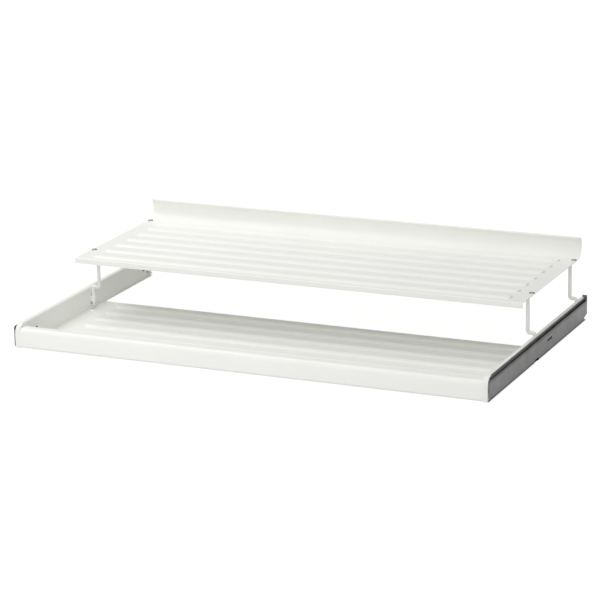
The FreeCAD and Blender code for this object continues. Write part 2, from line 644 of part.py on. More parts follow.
def make_corner_bracket(name, side):
    """Steel angle inside the front rail: one leg on its front wall, the other on the side rail's web."""
    body = new_body(f"corner_bracket_{name}")
    thick = "Sizes.bracket_sheet"
    end = f"({WEB_INSIDE} - Sizes.close_seam)"
    face, bend = "Sizes.rail_sheet", "Sizes.bracket_bend"
    rear = "Sizes.front_depth - Sizes.bracket_setback"
    outline = new_sketch(body, "XY_Plane", "outline", BRACKET_LOW)
    draw_path(outline, [
        (f"{side} * ({end} - Sizes.bracket_reach)", face, None),
        (f"{side} * {end}", face, f"{bend} + {thick}"),
        (f"{side} * {end}", rear, None),
        (f"{side} * ({end} - {thick})", rear, None),
        (f"{side} * ({end} - {thick})", f"{face} + {thick}", bend),
        (f"{side} * ({end} - Sizes.bracket_reach)", f"{face} + {thick}", None),
    ])
    pad(body, outline, f"{BRACKET_HIGH} - {BRACKET_LOW}")
    holes = new_sketch(body, "YZ_Plane", "holes", f"{side} * {end}")
    for level in BRACKET_SCREW_LEVELS:
        draw_circle(holes, BRACKET_SCREW_LINE, level, "Sizes.bracket_screw_diameter + Sizes.hole_play")
    pocket(body, holes, f"4 * {thick}", both_ways=True)
    return body


def make_wire_support(name, side, place):
    """Bent wire: lower leg on the rail, jog in to the upper leg, step out to a tip in the shelf."""
    body = new_body(f"wire_support_{name}")
    shoulder = f"({UPPER_UNDERSIDE} - Sizes.wire_diameter / 2 - Sizes.seam)"
    low, leg, tip = (f"{side} * {x}" for x in (WIRE_LOW_X, WIRE_LEG_X, WIRE_TIP_X))
    bend, top_bend = "Sizes.wire_bend", f"{SHOULDER_ROUNDING * SHOULDER} * Sizes.wire_diameter"
    route = new_sketch(body, "XZ_Plane", "route", f"-({place})")
    draw_path(route, [
        (low, "Sizes.wire_foot", None),
        (low, "Sizes.wire_jog", bend),
        (leg, "Sizes.wire_jog", bend),
        (leg, shoulder, top_bend),
        (tip, shoulder, top_bend),
        (tip, "Sizes.upper_level + Sizes.wire_tip", None),
    ], closed=False)
    section = new_sketch(body, "XY_Plane", "section", "Sizes.wire_foot")
    draw_circle(section, low, place, "Sizes.wire_diameter")
    pipe = body.newObject("PartDesign::AdditivePipe", f"{body.Name}_pipe")
    pipe.Profile = section
    pipe.Spine = route
    finish(body, pipe)
    rims = [f"Edge{i + 1}" for i, edge in enumerate(pipe.Shape.Edges) if is_end_rim(edge)]
    ends = body.newObject("PartDesign::Chamfer", f"{body.Name}_ends")
    ends.Base = (pipe, rims)
    ends.setExpression("Size", "Sizes.wire_diameter / 8")
    finish(body, ends)
    return body


def make_wire_bushes():
    """A ring in each hole of the upper shelf, round the wire's tip, so that the shelf doesn't rattle."""
    body = new_body("wire_bushes")
    body.AllowCompound = True
    play = "2 * Sizes.bush_play"
    rings = new_sketch(body, "XY_Plane", "rings", UPPER_UNDERSIDE)
    bores = new_sketch(body, "XY_Plane", "bores", UPPER_UNDERSIDE)
    for side in SIDES.values():
        across = f"{side} * {WIRE_TIP_X}"
        for place in ("Sizes.wire_front", WIRE_BACK):
            draw_slot(rings, across, f"{place} + Sizes.tip_hole_shift",
                      f"{TIP_HOLE_LENGTH} - {play}", f"{TIP_HOLE_WIDTH} - {play}")
            draw_circle(bores, across, place, f"Sizes.wire_diameter + {play}")
    pad(body, rings, "Sizes.shelf_sheet")
    pocket(body, bores, "2 * Sizes.shelf_sheet", reverse=True)
    return body


def is_end_rim(edge):
    """Whether an edge is the rim of a wire's foot or of its tip."""
    box = edge.BoundBox
    ends = (size_of("Sizes.wire_foot"), size_of("Sizes.upper_level + Sizes.wire_tip"))
    return box.ZLength < TOLERANCE and any(abs(box.ZMin - end) < TOLERANCE for end in ends)


def slide_point(side, inset, rise):
    """A corner of a slide's section: in from the slide's outer face, and up from its middle."""
    return f"{side} * ({HALF_WIDTH} - ({inset}))", f"{MID_HEIGHT} + {rise}"


def slide_channel(label, side, outside, inside, reach, height, wall, corner, front, rear):
    """A channel with its web near the slide's face and its two flanges reaching in."""
    body = new_body(label)
    section = new_sketch(body, "XZ_Plane", "section", f"-({front})")
    bend_in = f"({corner}) * {BEND_RATIO}"
    corners = [
        (outside, f"-({height})", corner), (outside, height, corner), (reach, height, None),
        (reach, f"({height} - {wall})", None), (inside, f"({height} - {wall})", bend_in),
        (inside, f"-({height} - {wall})", bend_in), (reach, f"-({height} - {wall})", None),
        (reach, f"-({height})", None)]
    draw_path(section, [(*slide_point(side, inset, rise), bend) for inset, rise, bend in corners])
    pad(body, section, f"{rear} - {front}", reverse=True)
    return body


def cut_races(body, name, side, front, rear, inset, drop, ball):
    """Roll a ball groove into the upper and the lower flange."""
    races = new_sketch(body, "XZ_Plane", name, f"-({front})")
    for sign in ("", "-"):
        across, up = slide_point(side, inset, f"{sign}({MID_HEIGHT} - {drop})")
        draw_circle(races, across, up, f"{ball} + 2 * Sizes.ball_clearance")
    pocket(body, races, f"{rear} - {front}", reverse=False)


OUTER_ROW = "(Sizes.slide_height / 2 - Sizes.race_drop)"
INNER_ROW = "(Sizes.slide_height / 2 - Sizes.inner_drop)"
OUTER_GROOVE = "(Sizes.outer_ball / 2 + Sizes.ball_clearance)"
INNER_GROOVE = "(Sizes.inner_ball / 2 + Sizes.ball_clearance)"
OUTER_CAGE_WEB = "(Sizes.slide_sheet + Sizes.member_gap)"
MIDDLE_WEB = f"({OUTER_CAGE_WEB} + Sizes.cage_sheet + Sizes.member_gap)"
MIDDLE_INSIDE = f"({MIDDLE_WEB} + Sizes.inner_sheet)"
INNER_CAGE_WEB = f"({MIDDLE_INSIDE} + Sizes.member_gap)"
MIDDLE_TOP = f"({OUTER_ROW} - {OUTER_GROOVE} + Sizes.race_depth)"
MIDDLE_WALL = f"({MIDDLE_TOP} - ({INNER_ROW} + {INNER_GROOVE} - Sizes.inner_race_depth))"
TRAY_TOP = f"({INNER_ROW} - {INNER_GROOVE} + Sizes.inner_race_depth)"


def make_cabinet_member(name, side):
    """Outer member, fixed to the wardrobe: raceways, end tab, mounting slot, notches and a bare front."""
    front = "Sizes.slide_setback"
    wall = f"({MID_HEIGHT} - {OUTER_ROW} - {OUTER_GROOVE} + Sizes.race_depth)"
    body = slide_channel(f"cabinet_member_{name}", side, "0", "Sizes.slide_sheet", "Sizes.lip_reach",
                         MID_HEIGHT, wall, "Sizes.slide_corner", front, SLIDE_REAR)
    cut_races(body, "races", side, front, SLIDE_REAR, "Sizes.race_inset", "Sizes.race_drop",
              "Sizes.outer_ball")
    face = f"{side} * {HALF_WIDTH}"
    room = new_sketch(body, "XZ_Plane", "cap_room", f"-({front})")
    edges = sorted([f"{side} * ({CAP_OUTSIDE} + Sizes.seam)",
                    f"{side} * ({HALF_WIDTH} - Sizes.slide_thickness)"], key=size_of)
    draw_box(room, edges[0], edges[1], "0 - Sizes.slide_sheet", "Sizes.slide_height + Sizes.slide_sheet")
    pocket(body, room, f"Sizes.inner_front - {front} - Sizes.seam", reverse=False)
    tab = new_sketch(body, "XZ_Plane", "end_tab", f"-{SLIDE_REAR}")
    edges = sorted([face, f"{side} * ({HALF_WIDTH} - Sizes.tab_width)"], key=size_of)
    draw_box(tab, edges[0], edges[1], "Sizes.slide_height - Sizes.slide_corner",
             "Sizes.slide_height + Sizes.tab_height")
    pad(body, tab, "Sizes.slide_sheet")
    fixings = new_sketch(body, "YZ_Plane", "fixings", face)
    draw_slot(fixings, "Sizes.slot_middle", f"{MID_HEIGHT} + Sizes.slot_rise", "Sizes.slot_length",
              "Sizes.slot_width")
    pocket(body, fixings, "3 * Sizes.slide_sheet", both_ways=True)
    cut_notches(body, face, front)
    return body


def cut_notches(body, face, front):
    """Cut the lower edge open in the middle, above a hook at the front and above a lip at the rear."""
    notches = new_sketch(body, "YZ_Plane", "notches", face)
    wall, slope = "Sizes.slide_sheet", "Sizes.notch_slope"
    hook_start = f"{front} + {wall}"
    hook_end = f"{hook_start} + Sizes.hook_length"
    draw_path(notches, [
        (hook_start, wall, None),
        (f"{hook_end} - Sizes.hook_gap", wall, None),
        (f"{hook_end} - Sizes.hook_gap", f"0 - {wall}", None),
        (hook_end, f"0 - {wall}", None),
        (hook_end, f"{wall} + Sizes.hook_height", None),
        (hook_start, f"{wall} + Sizes.hook_height", None),
    ])
    left, right = (f"Sizes.notch_middle {sign} Sizes.notch_length / 2" for sign in "-+")
    draw_path(notches, [
        (left, f"0 - {wall}", None),
        (right, f"0 - {wall}", None),
        (right, "Sizes.notch_height / 2", None),
        (f"{right} - 2 * {slope}", "Sizes.notch_height", None),
        (left, "Sizes.notch_height", None),
    ])
    lip = f"({SLIDE_REAR} - Sizes.lip_length)"
    draw_path(notches, [
        (lip, wall, None),
        (f"{SLIDE_REAR} + {wall}", wall, None),
        (f"{SLIDE_REAR} + {wall}", f"{wall} + Sizes.lip_gap + {slope}", None),
        (lip, f"{wall} + Sizes.lip_gap", None),
    ])
    pocket(body, notches, f"2 * (Sizes.race_inset - {OUTER_GROOVE})", both_ways=True)
    nose = new_sketch(body, "YZ_Plane", "nose", face)
    top, radius = "Sizes.slide_height", "Sizes.slide_nose"
    draw_path(nose, [
        (f"{front} - {wall}", f"{top} - {radius} - {wall}", None),
        (front, f"{top} - {radius} - {wall}", None),
        (front, top, radius),
        (f"{front} + {radius} + {wall}", top, None),
        (f"{front} + {radius} + {wall}", f"{top} + {wall}", None),
        (f"{front} - {wall}", f"{top} + {wall}", None),
    ])
    pocket(body, nose, "3 * Sizes.slide_thickness", both_ways=True)


def make_middle_member(name, side):
    """Middle member: a channel with a ball groove on both faces of each flange."""
    front, rear = "Sizes.inner_front", MEMBER_REAR
    body = slide_channel(f"middle_member_{name}", side, MIDDLE_WEB, MIDDLE_INSIDE,
                         "Sizes.slide_thickness - Sizes.middle_setback", MIDDLE_TOP, MIDDLE_WALL,
                         "Sizes.inner_sheet", front, rear)
    cut_races(body, "outer_races", side, front, rear, "Sizes.race_inset", "Sizes.race_drop",
              "Sizes.outer_ball")
    cut_races(body, "inner_races", side, front, rear, "Sizes.inner_inset", "Sizes.inner_drop",
              "Sizes.inner_ball")
    return body


def make_tray_member(name, side):
    """Inner member, screwed to the side rail: its flanges reach back towards the middle member."""
    front, rear = "Sizes.inner_front", MEMBER_REAR
    tip = f"{INNER_CAGE_WEB} + Sizes.cage_sheet + Sizes.member_gap"
    body = slide_channel(f"tray_member_{name}", side, "Sizes.slide_thickness",
                         "Sizes.slide_thickness - Sizes.inner_sheet", tip, TRAY_TOP, "Sizes.inner_sheet",
                         "Sizes.inner_sheet", front, rear)
    cut_races(body, "races", side, front, rear, "Sizes.inner_inset", "Sizes.inner_drop",
              "Sizes.inner_ball")
    holes = new_sketch(body, "YZ_Plane", "screw_holes", f"{side} * {WEB_OUTSIDE}")
    for place in SCREW_PLACES:
        draw_circle(holes, place, MID_HEIGHT, "Sizes.screw_diameter + Sizes.hole_play")
    pocket(body, holes, "4 * Sizes.inner_sheet", both_ways=True)
    return body


def ball_places(i):
    """How far back ball number i of a row sits."""
    return f"(Sizes.cage_front + Sizes.cage_length / 2 + {i - (BALLS_IN_ROW - 1) / 2} * Sizes.ball_pitch)"


def make_cage(name, side, which, web, row, reach, inset, ball):
    """Folded strip cage with a round window for each ball of its two rows."""
    rear = "(Sizes.cage_front + Sizes.cage_length)"
    outer = f"({row} + Sizes.cage_sheet / 2)"
    body = slide_channel(f"{which}_cage_{name}", side, web, f"({web} + Sizes.cage_sheet)", reach, outer,
                         "Sizes.cage_sheet", "Sizes.cage_corner", "Sizes.cage_front", rear)
    windows = new_sketch(body, "XY_Plane", "windows", f"{MID_HEIGHT} - {outer}")
    for i in range(BALLS_IN_ROW):
        draw_circle(windows, f"{side} * ({HALF_WIDTH} - {inset})", ball_places(i),
                    f"{ball} + Sizes.window_play")
    pocket(body, windows, f"2 * {outer}", reverse=True)
    return body


def make_balls(name, side, which, row, inset, ball):
    """The steel balls of one cage, each a sphere of its own."""
    spheres = []
    for sign in ("", "-"):
        for i in range(BALLS_IN_ROW):
            sphere = document.addObject("Part::Sphere", f"{which}_ball_{name}")
            sphere.setExpression("Radius", f"{ball} / 2")
            sphere.setExpression("Placement.Base.x", f"{side} * ({HALF_WIDTH} - {inset})")
            sphere.setExpression("Placement.Base.y", f"{ball_places(i)} - Sizes.overall_depth / 2")
            sphere.setExpression("Placement.Base.z", f"{MID_HEIGHT} + {sign}{row}")
            spheres.append(sphere)
    balls = document.addObject("Part::Compound", f"{which}_balls_{name}")
    balls.Label = f"{which}_balls_{name}"
    balls.Links = spheres
    document.recompute()
    return balls


def make_bumper(name, side):
    """Soft stop at the rear of the cabinet member, with a rounded front."""
    body = new_body(f"bumper_{name}")
    front, rear = f"({SLIDE_REAR} - Sizes.bumper_length)", SLIDE_REAR
    seat = f"{side} * ({HALF_WIDTH} - Sizes.slide_sheet)"
    inner = f"{side} * ({WEB_OUTSIDE} + Sizes.bumper_inset)"
    outline = new_sketch(body, "XY_Plane", "outline", f"{MID_HEIGHT} - Sizes.bumper_height / 2")
    draw_path(outline, [
        (seat, front, None),
        (inner, front, "Sizes.bumper_round"),
        (inner, rear, "Sizes.bumper_round"),
        (seat, rear, None),
    ])
    pad(body, outline, "Sizes.bumper_height")
    return body


def make_screws(label, places, seat, diameter, head, head_height, length):
    """Pan-head screws in both side rails, heads inwards, at each (line, level) from the seat on the web."""
    body = new_body(label)
    body.AllowCompound = True
    for side_name, side in SIDES.items():
        back, front, tip = (f"{side} * ({seat} {step})" for step in (f"- {head_height}", "", f"+ {length}"))
        for number, (line, level) in enumerate(places):
            section = new_sketch(body, "XY_Plane", f"{side_name}_{number}", level)
            draw_axis(section, (back, line), (tip, line))
            draw_path(section, [
                (back, line, None),
                (back, f"{line} + {head} / 2", f"{DOME} * {head_height}"),
                (front, f"{line} + {head} / 2", None),
                (front, f"{line} + {diameter} / 2", None),
                (tip, f"{line} + {diameter} / 2", None),
                (tip, line, None),
            ])
            turn(body, section)
    return body


def draw_axis(sketch, start, end):
    """A construction line to turn a section about."""
    points = [FreeCAD.Vector(size_of(across), size_of(up), 0) for across, up in (start, end)]
    axis = sketch.addGeometry(Part.LineSegment(*points), True)
    pin(sketch, axis, 1, *start)
    pin(sketch, axis, 2, *end)


def make_shelf_rivets():
    """Rivets through the lower shelf and the front rail's bottom flange, with domed heads on top."""
    body = new_body("shelf_rivets")
    body.AllowCompound = True
    section = new_sketch(body, "XZ_Plane", "section", f"-{RIVET_LINE}")
    middle, radius = rivet_place(0), "Sizes.rivet_diameter / 2"
    foot, seat = "Sizes.floor_gap", f"{LOWER_TOP} + Sizes.rail_sheet"
    head, head_edge = f"{seat} + Sizes.rivet_head_height", f"{middle} + Sizes.rivet_head / 2"
    draw_axis(section, (middle, foot), (middle, head))
    draw_path(section, [
        (middle, foot, None),
        (f"{middle} + {radius}", foot, None),
        (f"{middle} + {radius}", seat, None),
        (head_edge, seat, None),
        (head_edge, head, f"{DOME} * Sizes.rivet_head_height"),
        (middle, head, None),
    ])
    rivet = turn(body, section)
    repeat(body, [rivet], "X_Axis", RIVET_PITCH, SHELF_RIVETS)
    return body


slide_screw_places = [(place, MID_HEIGHT) for place in SCREW_PLACES]
bracket_screw_places = [(BRACKET_SCREW_LINE, level) for level in BRACKET_SCREW_LEVELS]
pieces = [
    make_upper_shelf(),
    make_lower_shelf(),
    make_front_rail(),
    make_shelf_rivets(),
    make_wire_bushes(),
    make_screws("slide_screws", slide_screw_places, WEB_INSIDE, "Sizes.screw_diameter",
                "Sizes.screw_head", "Sizes.screw_head_height", "Sizes.screw_length"),
    make_screws("bracket_screws", bracket_screw_places, BRACKET_FACE, "Sizes.bracket_screw_diameter",
                "Sizes.bracket_screw_head", "Sizes.bracket_head_height", "Sizes.bracket_screw_length"),
]
for name, side in SIDES.items():
    pieces.append(make_side_rail(name, side))
    pieces.append(make_end_cap(name, side))
    pieces.append(make_corner_bracket(name, side))
    pieces.append(make_wire_support(f"front_{name}", side, "Sizes.wire_front"))
    pieces.append(make_wire_support(f"back_{name}", side, WIRE_BACK))
    pieces.append(make_cabinet_member(name, side))
    pieces.append(make_middle_member(name, side))
    pieces.append(make_tray_member(name, side))
    pieces.append(make_cage(name, side, "outer", OUTER_CAGE_WEB, OUTER_ROW, "Sizes.outer_cage_reach",
                            "Sizes.race_inset", "Sizes.outer_ball"))
    pieces.append(make_cage(name, side, "inner", INNER_CAGE_WEB, INNER_ROW, "Sizes.inner_cage_reach",
                            "Sizes.inner_inset", "Sizes.inner_ball"))
    pieces.append(make_balls(name, side, "outer", OUTER_ROW, "Sizes.race_inset", "Sizes.outer_ball"))
    pieces.append(make_balls(name, side, "inner", INNER_ROW, "Sizes.inner_inset", "Sizes.inner_ball"))
    pieces.append(make_bumper(name, side))

document.recompute()
os.makedirs("parts", exist_ok=True)
for piece in document.Objects:
    if "Invalid" in piece.State or "Error" in piece.State:
        raise RuntimeError(f"{piece.Label} failed to recompute")
for piece in pieces:
    if piece.Shape.isNull() or not piece.Shape.isValid():
        raise RuntimeError(f"{piece.Label} has no valid shape")
    piece.Shape.exportStep(f"parts/{piece.Label}.step")
    print(f"{piece.Label}: {len(piece.Shape.Solids)} solid(s), {piece.Shape.Volume / 1000:.2f} cm3")
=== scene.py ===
# %% [markdown]
# # A pull-out shoe rack
# The rack is two ribbed sheets of white powder-coated steel in a sliding frame: folded side rails, a
# bullnose rail in front, four bent wires that carry the upper shelf, and a ball-bearing slide on each side.
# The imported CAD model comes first. It fixes every size and place, so each piece below is made where the
# CAD says, in metres, and rides on the body that moves it.

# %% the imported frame
import math

import bmesh
import bpy
import numpy as np
from mathutils import Matrix, Vector


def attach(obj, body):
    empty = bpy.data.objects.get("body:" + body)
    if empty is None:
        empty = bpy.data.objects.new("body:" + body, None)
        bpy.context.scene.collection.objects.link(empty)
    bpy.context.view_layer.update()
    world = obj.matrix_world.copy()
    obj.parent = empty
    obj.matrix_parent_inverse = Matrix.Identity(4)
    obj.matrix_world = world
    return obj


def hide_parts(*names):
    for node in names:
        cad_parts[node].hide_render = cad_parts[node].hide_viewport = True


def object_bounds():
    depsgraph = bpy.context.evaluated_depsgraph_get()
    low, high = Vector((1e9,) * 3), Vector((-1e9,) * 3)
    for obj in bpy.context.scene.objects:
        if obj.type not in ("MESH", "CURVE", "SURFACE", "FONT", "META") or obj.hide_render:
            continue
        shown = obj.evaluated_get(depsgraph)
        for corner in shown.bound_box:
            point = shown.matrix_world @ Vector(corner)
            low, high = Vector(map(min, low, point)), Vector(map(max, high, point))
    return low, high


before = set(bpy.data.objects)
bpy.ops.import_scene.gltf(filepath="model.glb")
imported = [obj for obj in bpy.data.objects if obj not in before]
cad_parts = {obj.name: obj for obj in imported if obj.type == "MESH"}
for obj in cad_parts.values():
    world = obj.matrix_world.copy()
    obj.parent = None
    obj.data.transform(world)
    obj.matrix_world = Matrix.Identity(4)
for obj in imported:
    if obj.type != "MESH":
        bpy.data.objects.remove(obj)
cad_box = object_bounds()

MM = 0.001
SIDES = {"left": -1, "right": 1}
print("CAD box in metres:", [[round(float(v), 4) for v in corner] for corner in cad_box])

# %% [markdown]
# ## Colours and nodes
# A finish is written as the sRGB hex value that a paint card would give, and one function turns it into the
# linear numbers that the shader works with. One more function adds a node, sets it and links it, so every
# material below reads as a short list of steps.


# %% colour and node helpers
def linear(hex_colour):
    """An sRGB hex value as linear red, green, blue and alpha: v / 12.92 when dark, and otherwise
    ((v + 0.055) / 1.055) ^ 2.4."""
    value = np.array([int(hex_colour[i:i + 2], 16) / 255 for i in (0, 2, 4)])
    flat = np.where(value <= 0.04045, value / 12.92, ((value + 0.055) / 1.055) ** 2.4)
    return (*flat.tolist(), 1.0)


def empty_tree(owner):
    """The node tree of a material or of the world, switched on and emptied."""
    owner.use_nodes = True
    owner.node_tree.nodes.clear()
    return owner.node_tree


def add_node(tree, kind, links=(), stops=(), **settings):
    """Add one node, link (from node, output, input) to it, set its properties or inputs by name (To_Min for
    the input "To Min"), and give a colour ramp its stops as (position, hex colour)."""
    node = tree.nodes.new(kind)
    for name, value in settings.items():
        if hasattr(node, name):
            setattr(node, name, value)
        else:
            node.inputs[name.replace("_", " ")].default_value = value
    for source, output, target in links:
        tree.links.new(source.outputs[output], node.inputs[target])
    if stops:
        elements = node.color_ramp.elements
        while len(elements) < len(stops):
            elements.new(0.5)
        for element, (position, colour) in zip(elements, stops):
            element.position, element.color = position, linear(colour)
    return node


print("mid grey 808080 in linear light:", [round(v, 3) for v in linear("808080")])

# %% [markdown]
# ## White powder coat
# The shelves, rails and wires are steel under a baked polyester powder coat. It levels into a satin film
# with a faint orange peel: bumps about 2 mm apart and a few micrometres high, which soften a highlight
# without breaking it. The film is a dielectric, so metallic is 0 and the IOR is that of polyester, 1.52.
# The bumps could be a normal picture, but a noise in Object coordinates needs no unwrapping and keeps one
# size on every piece. They are drawn a little coarser than real, 3 mm, because finer ones fall between pixels.
# A second, slow noise lets the white drift a little over a hand's breadth or two, as a sprayed coat does.

# %% white powder-coated steel
ORANGE_PEEL = 3 * MM
PEEL_DEPTH = 0.012 * MM
DRIFTS_PER_METRE = 6.0
powder_coat = bpy.data.materials.new("white_powder_coated_steel")
tree = empty_tree(powder_coat)
place = add_node(tree, "ShaderNodeTexCoord")
peel = add_node(tree, "ShaderNodeTexNoise", [(place, "Object", "Vector")], Scale=1 / ORANGE_PEEL, Detail=1.0)
bump = add_node(tree, "ShaderNodeBump", [(peel, "Fac", "Height")], Distance=PEEL_DEPTH, Strength=1.0)
drift = add_node(tree, "ShaderNodeTexNoise", [(place, "Object", "Vector")],
                 Scale=DRIFTS_PER_METRE, Detail=2.0)
white = add_node(tree, "ShaderNodeValToRGB", [(drift, "Fac", "Fac")], [(0.3, "F2F3EE"), (0.7, "F4F5F0")])
shader = add_node(tree, "ShaderNodeBsdfPrincipled",
                  [(white, "Color", "Base Color"), (bump, "Normal", "Normal")], Roughness=0.42, IOR=1.52)
add_node(tree, "ShaderNodeOutputMaterial", [(shader, "BSDF", "Surface")])
print("powder coat: orange peel every", ORANGE_PEEL / MM, "mm")

# %% [markdown]
# ## Moulded white plastic
# The end caps are moulded in white ABS, next to the coated steel and a shade greyer. Moulding gives a fine
# spark-eroded grain instead of orange peel, so the noise is finer and the surface a little duller. A flat
# colour would do from afar. The same noise colours the grain and raises it, so the two stay together.
# Other finishes are speckled in this way too, so it is a function.


# %% moulded ABS
def speckled(name, light, dark, size, depth, ends=(0.3, 0.7), **settings):
    """One finish with a fine noise of that size in its colour, from dark to light between the ends, and in its
    bumps of up to depth. The settings go to the shader."""
    material = bpy.data.materials.new(name)
    tree = empty_tree(material)
    place = add_node(tree, "ShaderNodeTexCoord")
    speck = add_node(tree, "ShaderNodeTexNoise", [(place, "Object", "Vector")], Scale=1 / size, Detail=2.0)
    bump = add_node(tree, "ShaderNodeBump", [(speck, "Fac", "Height")], Distance=depth, Strength=1.0)
    colour = add_node(tree, "ShaderNodeValToRGB", [(speck, "Fac", "Fac")], list(zip(ends, (dark, light))))
    shader = add_node(tree, "ShaderNodeBsdfPrincipled",
                      [(colour, "Color", "Base Color"), (bump, "Normal", "Normal")], **settings)
    add_node(tree, "ShaderNodeOutputMaterial", [(shader, "BSDF", "Surface")])
    print("speckled finish:", name, "with specks of", round(size / MM, 2), "mm")
    return material


moulded_white = speckled("white_moulded_abs", "F2F3EF", "EFF0EC", 0.9 * MM, 0.01 * MM, ends=(0.2, 0.8),
                         Roughness=0.5, IOR=1.53)

# %% [markdown]
# ## Rolled steels
# The slide members are roll-formed from zinc-plated strip. Rolling leaves fine lines along the strip, and the
# plating has a soft cloudiness. The lines are a noise that is stretched along Y, the direction of rolling:
# about 0.4 mm across on the real strip and drawn at 0.8 mm, and 60 mm long. They change the roughness
# more than the colour, as scratches do. A metal keeps the default IOR. The same recipe with other numbers
# gives the cages' plain spring steel and the brackets' plating. The members' lower raceway and a line under
# the upper one carry painted shade: a grey tone over the height that multiplies the colour. Why is a guess, so
# it is no more than a grey tone over the height that multiplies the colour. It is darker where the lower
# raceway mirrors the shaded floor, and in a line below the upper raceway's curve. It could be a second
# material on its own faces, but then the faces would have to be picked out one by one.

# %% rolled steel finishes
LINE_WIDTH, LINE_LENGTH, LINE_DEPTH = 0.8 * MM, 60 * MM, 0.01 * MM
LINE_ROUGHNESS = 0.07
CLOUDS_PER_METRE = 40.0
BANDS_TOP = 50.0
# Painted shade on the zinc members, as (millimetres up, grey): darker on the lower raceway and in a line below
# the upper raceway's curve.
PAINTED_SHADE_BANDS = [(6.5, "B8B8B8"), (8.5, "FFFFFF"), (36.2, "FFFFFF"), (36.7, "606060"), (37.5, "606060"),
              (38.0, "F0F0F0")]


def rolled_steel(name, light, dark, roughness, painted_shade=()):
    """Metal with lines along Y: noise stretched so that one line is 60 mm long, over a slower cloud. Painted
    shade darkens it by height, as stops of (millimetres, grey hex) up to BANDS_TOP."""
    material = bpy.data.materials.new(name)
    tree = empty_tree(material)
    place = add_node(tree, "ShaderNodeTexCoord")
    stretch = add_node(tree, "ShaderNodeMapping", [(place, "Object", "Vector")],
                       Scale=(1 / LINE_WIDTH, 1 / LINE_LENGTH, 1 / LINE_WIDTH))
    lines = add_node(tree, "ShaderNodeTexNoise", [(stretch, "Vector", "Vector")], Scale=1.0, Detail=3.0)
    bump = add_node(tree, "ShaderNodeBump", [(lines, "Fac", "Height")], Distance=LINE_DEPTH, Strength=1.0)
    cloud = add_node(tree, "ShaderNodeTexNoise", [(place, "Object", "Vector")],
                     Scale=CLOUDS_PER_METRE, Detail=3.0)
    colour = add_node(tree, "ShaderNodeValToRGB", [(cloud, "Fac", "Fac")], [(0.3, dark), (0.7, light)])
    # Painted shade: a grey ramp over the height multiplies the colour.
    if painted_shade:
        axes = add_node(tree, "ShaderNodeSeparateXYZ", [(place, "Object", "Vector")])
        height = add_node(tree, "ShaderNodeMapRange", [(axes, "Z", "Value")], From_Max=BANDS_TOP * MM)
        grey = add_node(tree, "ShaderNodeValToRGB", [(height, "Result", "Fac")],
                        [(level / BANDS_TOP, shade) for level, shade in painted_shade])
        colour = add_node(tree, "ShaderNodeVectorMath", [(colour, "Color", 0), (grey, "Color", 1)],
                          operation="MULTIPLY")
    spread = add_node(tree, "ShaderNodeMapRange", [(lines, "Fac", "Value")],
                      To_Min=roughness - LINE_ROUGHNESS, To_Max=roughness + LINE_ROUGHNESS)
    shader = add_node(tree, "ShaderNodeBsdfPrincipled",
                      [(colour, 0, "Base Color"), (spread, "Result", "Roughness"), (bump, "Normal", "Normal")],
                      Metallic=1.0)
    add_node(tree, "ShaderNodeOutputMaterial", [(shader, "BSDF", "Surface")])
    print("rolled steel:", name)
    return material


zinc_plate = rolled_steel("zinc_plated_steel", "989897", "8A8A8A", 0.3, painted_shade=PAINTED_SHADE_BANDS)
cage_steel = rolled_steel("cold_rolled_spring_steel", "8F8C88", "7D7A77", 0.3)
bracket_zinc = rolled_steel("zinc_plated_bracket_steel", "B4B7B8", "A2A5A8", 0.36)

# %% [markdown]
# ## Small parts
# The slide screws are blackened steel: a thin oxide layer over metal, dark and half dull. The balls are
# hardened and lapped bearing steel, the brightest metal here. The bumpers and bushes are black moulded rubber,
# rough and slightly grey where the mould grain catches light.

# %% black, polished and rubber finishes
black_oxide = speckled("black_oxide_steel", "2B2B2C", "1E1E1F", 0.7 * MM, 0.01 * MM,
                       Roughness=0.38, Metallic=1.0)
bearing_steel = speckled("polished_bearing_steel", "D2D2D2", "CACACB", 2 * MM, 0.0,
                         Roughness=0.08, Metallic=1.0)
rubber = speckled("black_moulded_rubber", "242424", "1A1A1A", 0.6 * MM, 0.03 * MM,
                  Roughness=0.68, IOR=1.52)

# %% [markdown]
# ## Surfaces from arrays
# Every new piece is a grid of points worked out at once with numpy, then handed to Blender as one mesh.
# Modelling by hand would do, but a formula keeps the ribs alike and lets a size be changed in one place.

# %% mesh helpers
SAME_POINT, NO_LENGTH = 0.002 * MM, 0.001 * MM


def grid_faces(rows, columns, close_rows=False, close_columns=False):
    """Corner numbers of the quads of a rows by columns grid; closing joins the last line back to the first."""
    index = np.arange(rows * columns).reshape(rows, columns)
    if close_columns:
        index = np.concatenate([index, index[:, :1]], axis=1)
    if close_rows:
        index = np.concatenate([index, index[:1]], axis=0)
    corners = [index[:-1, :-1], index[1:, :-1], index[1:, 1:], index[:-1, 1:]]
    return np.stack(corners, axis=-1).reshape(-1, 4)


def add_piece(name, points, faces, body, material, sharp=35):
    """A mesh from an array of points in millimetres and lists of corner numbers, riding on its body.
    Edges that turn by more than sharp degrees stay crisp."""
    mesh = bpy.data.meshes.new(name)
    mesh.from_pydata((np.asarray(points, float) * MM).tolist(), [], [list(map(int, face)) for face in faces])
    mesh.update()
    return dress(bpy.data.objects.new(name, mesh), body, material, sharp)


def dress(piece, body, material, sharp):
    """Shade a piece smoothly up to an angle, give it its finish, and let it ride on its body."""
    mesh = piece.data
    mesh.materials.clear()
    mesh.materials.append(material)
    mesh.shade_smooth()
    mesh.set_sharp_from_angle(angle=math.radians(sharp))
    bpy.context.scene.collection.objects.link(piece)
    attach(piece, body)
    return piece


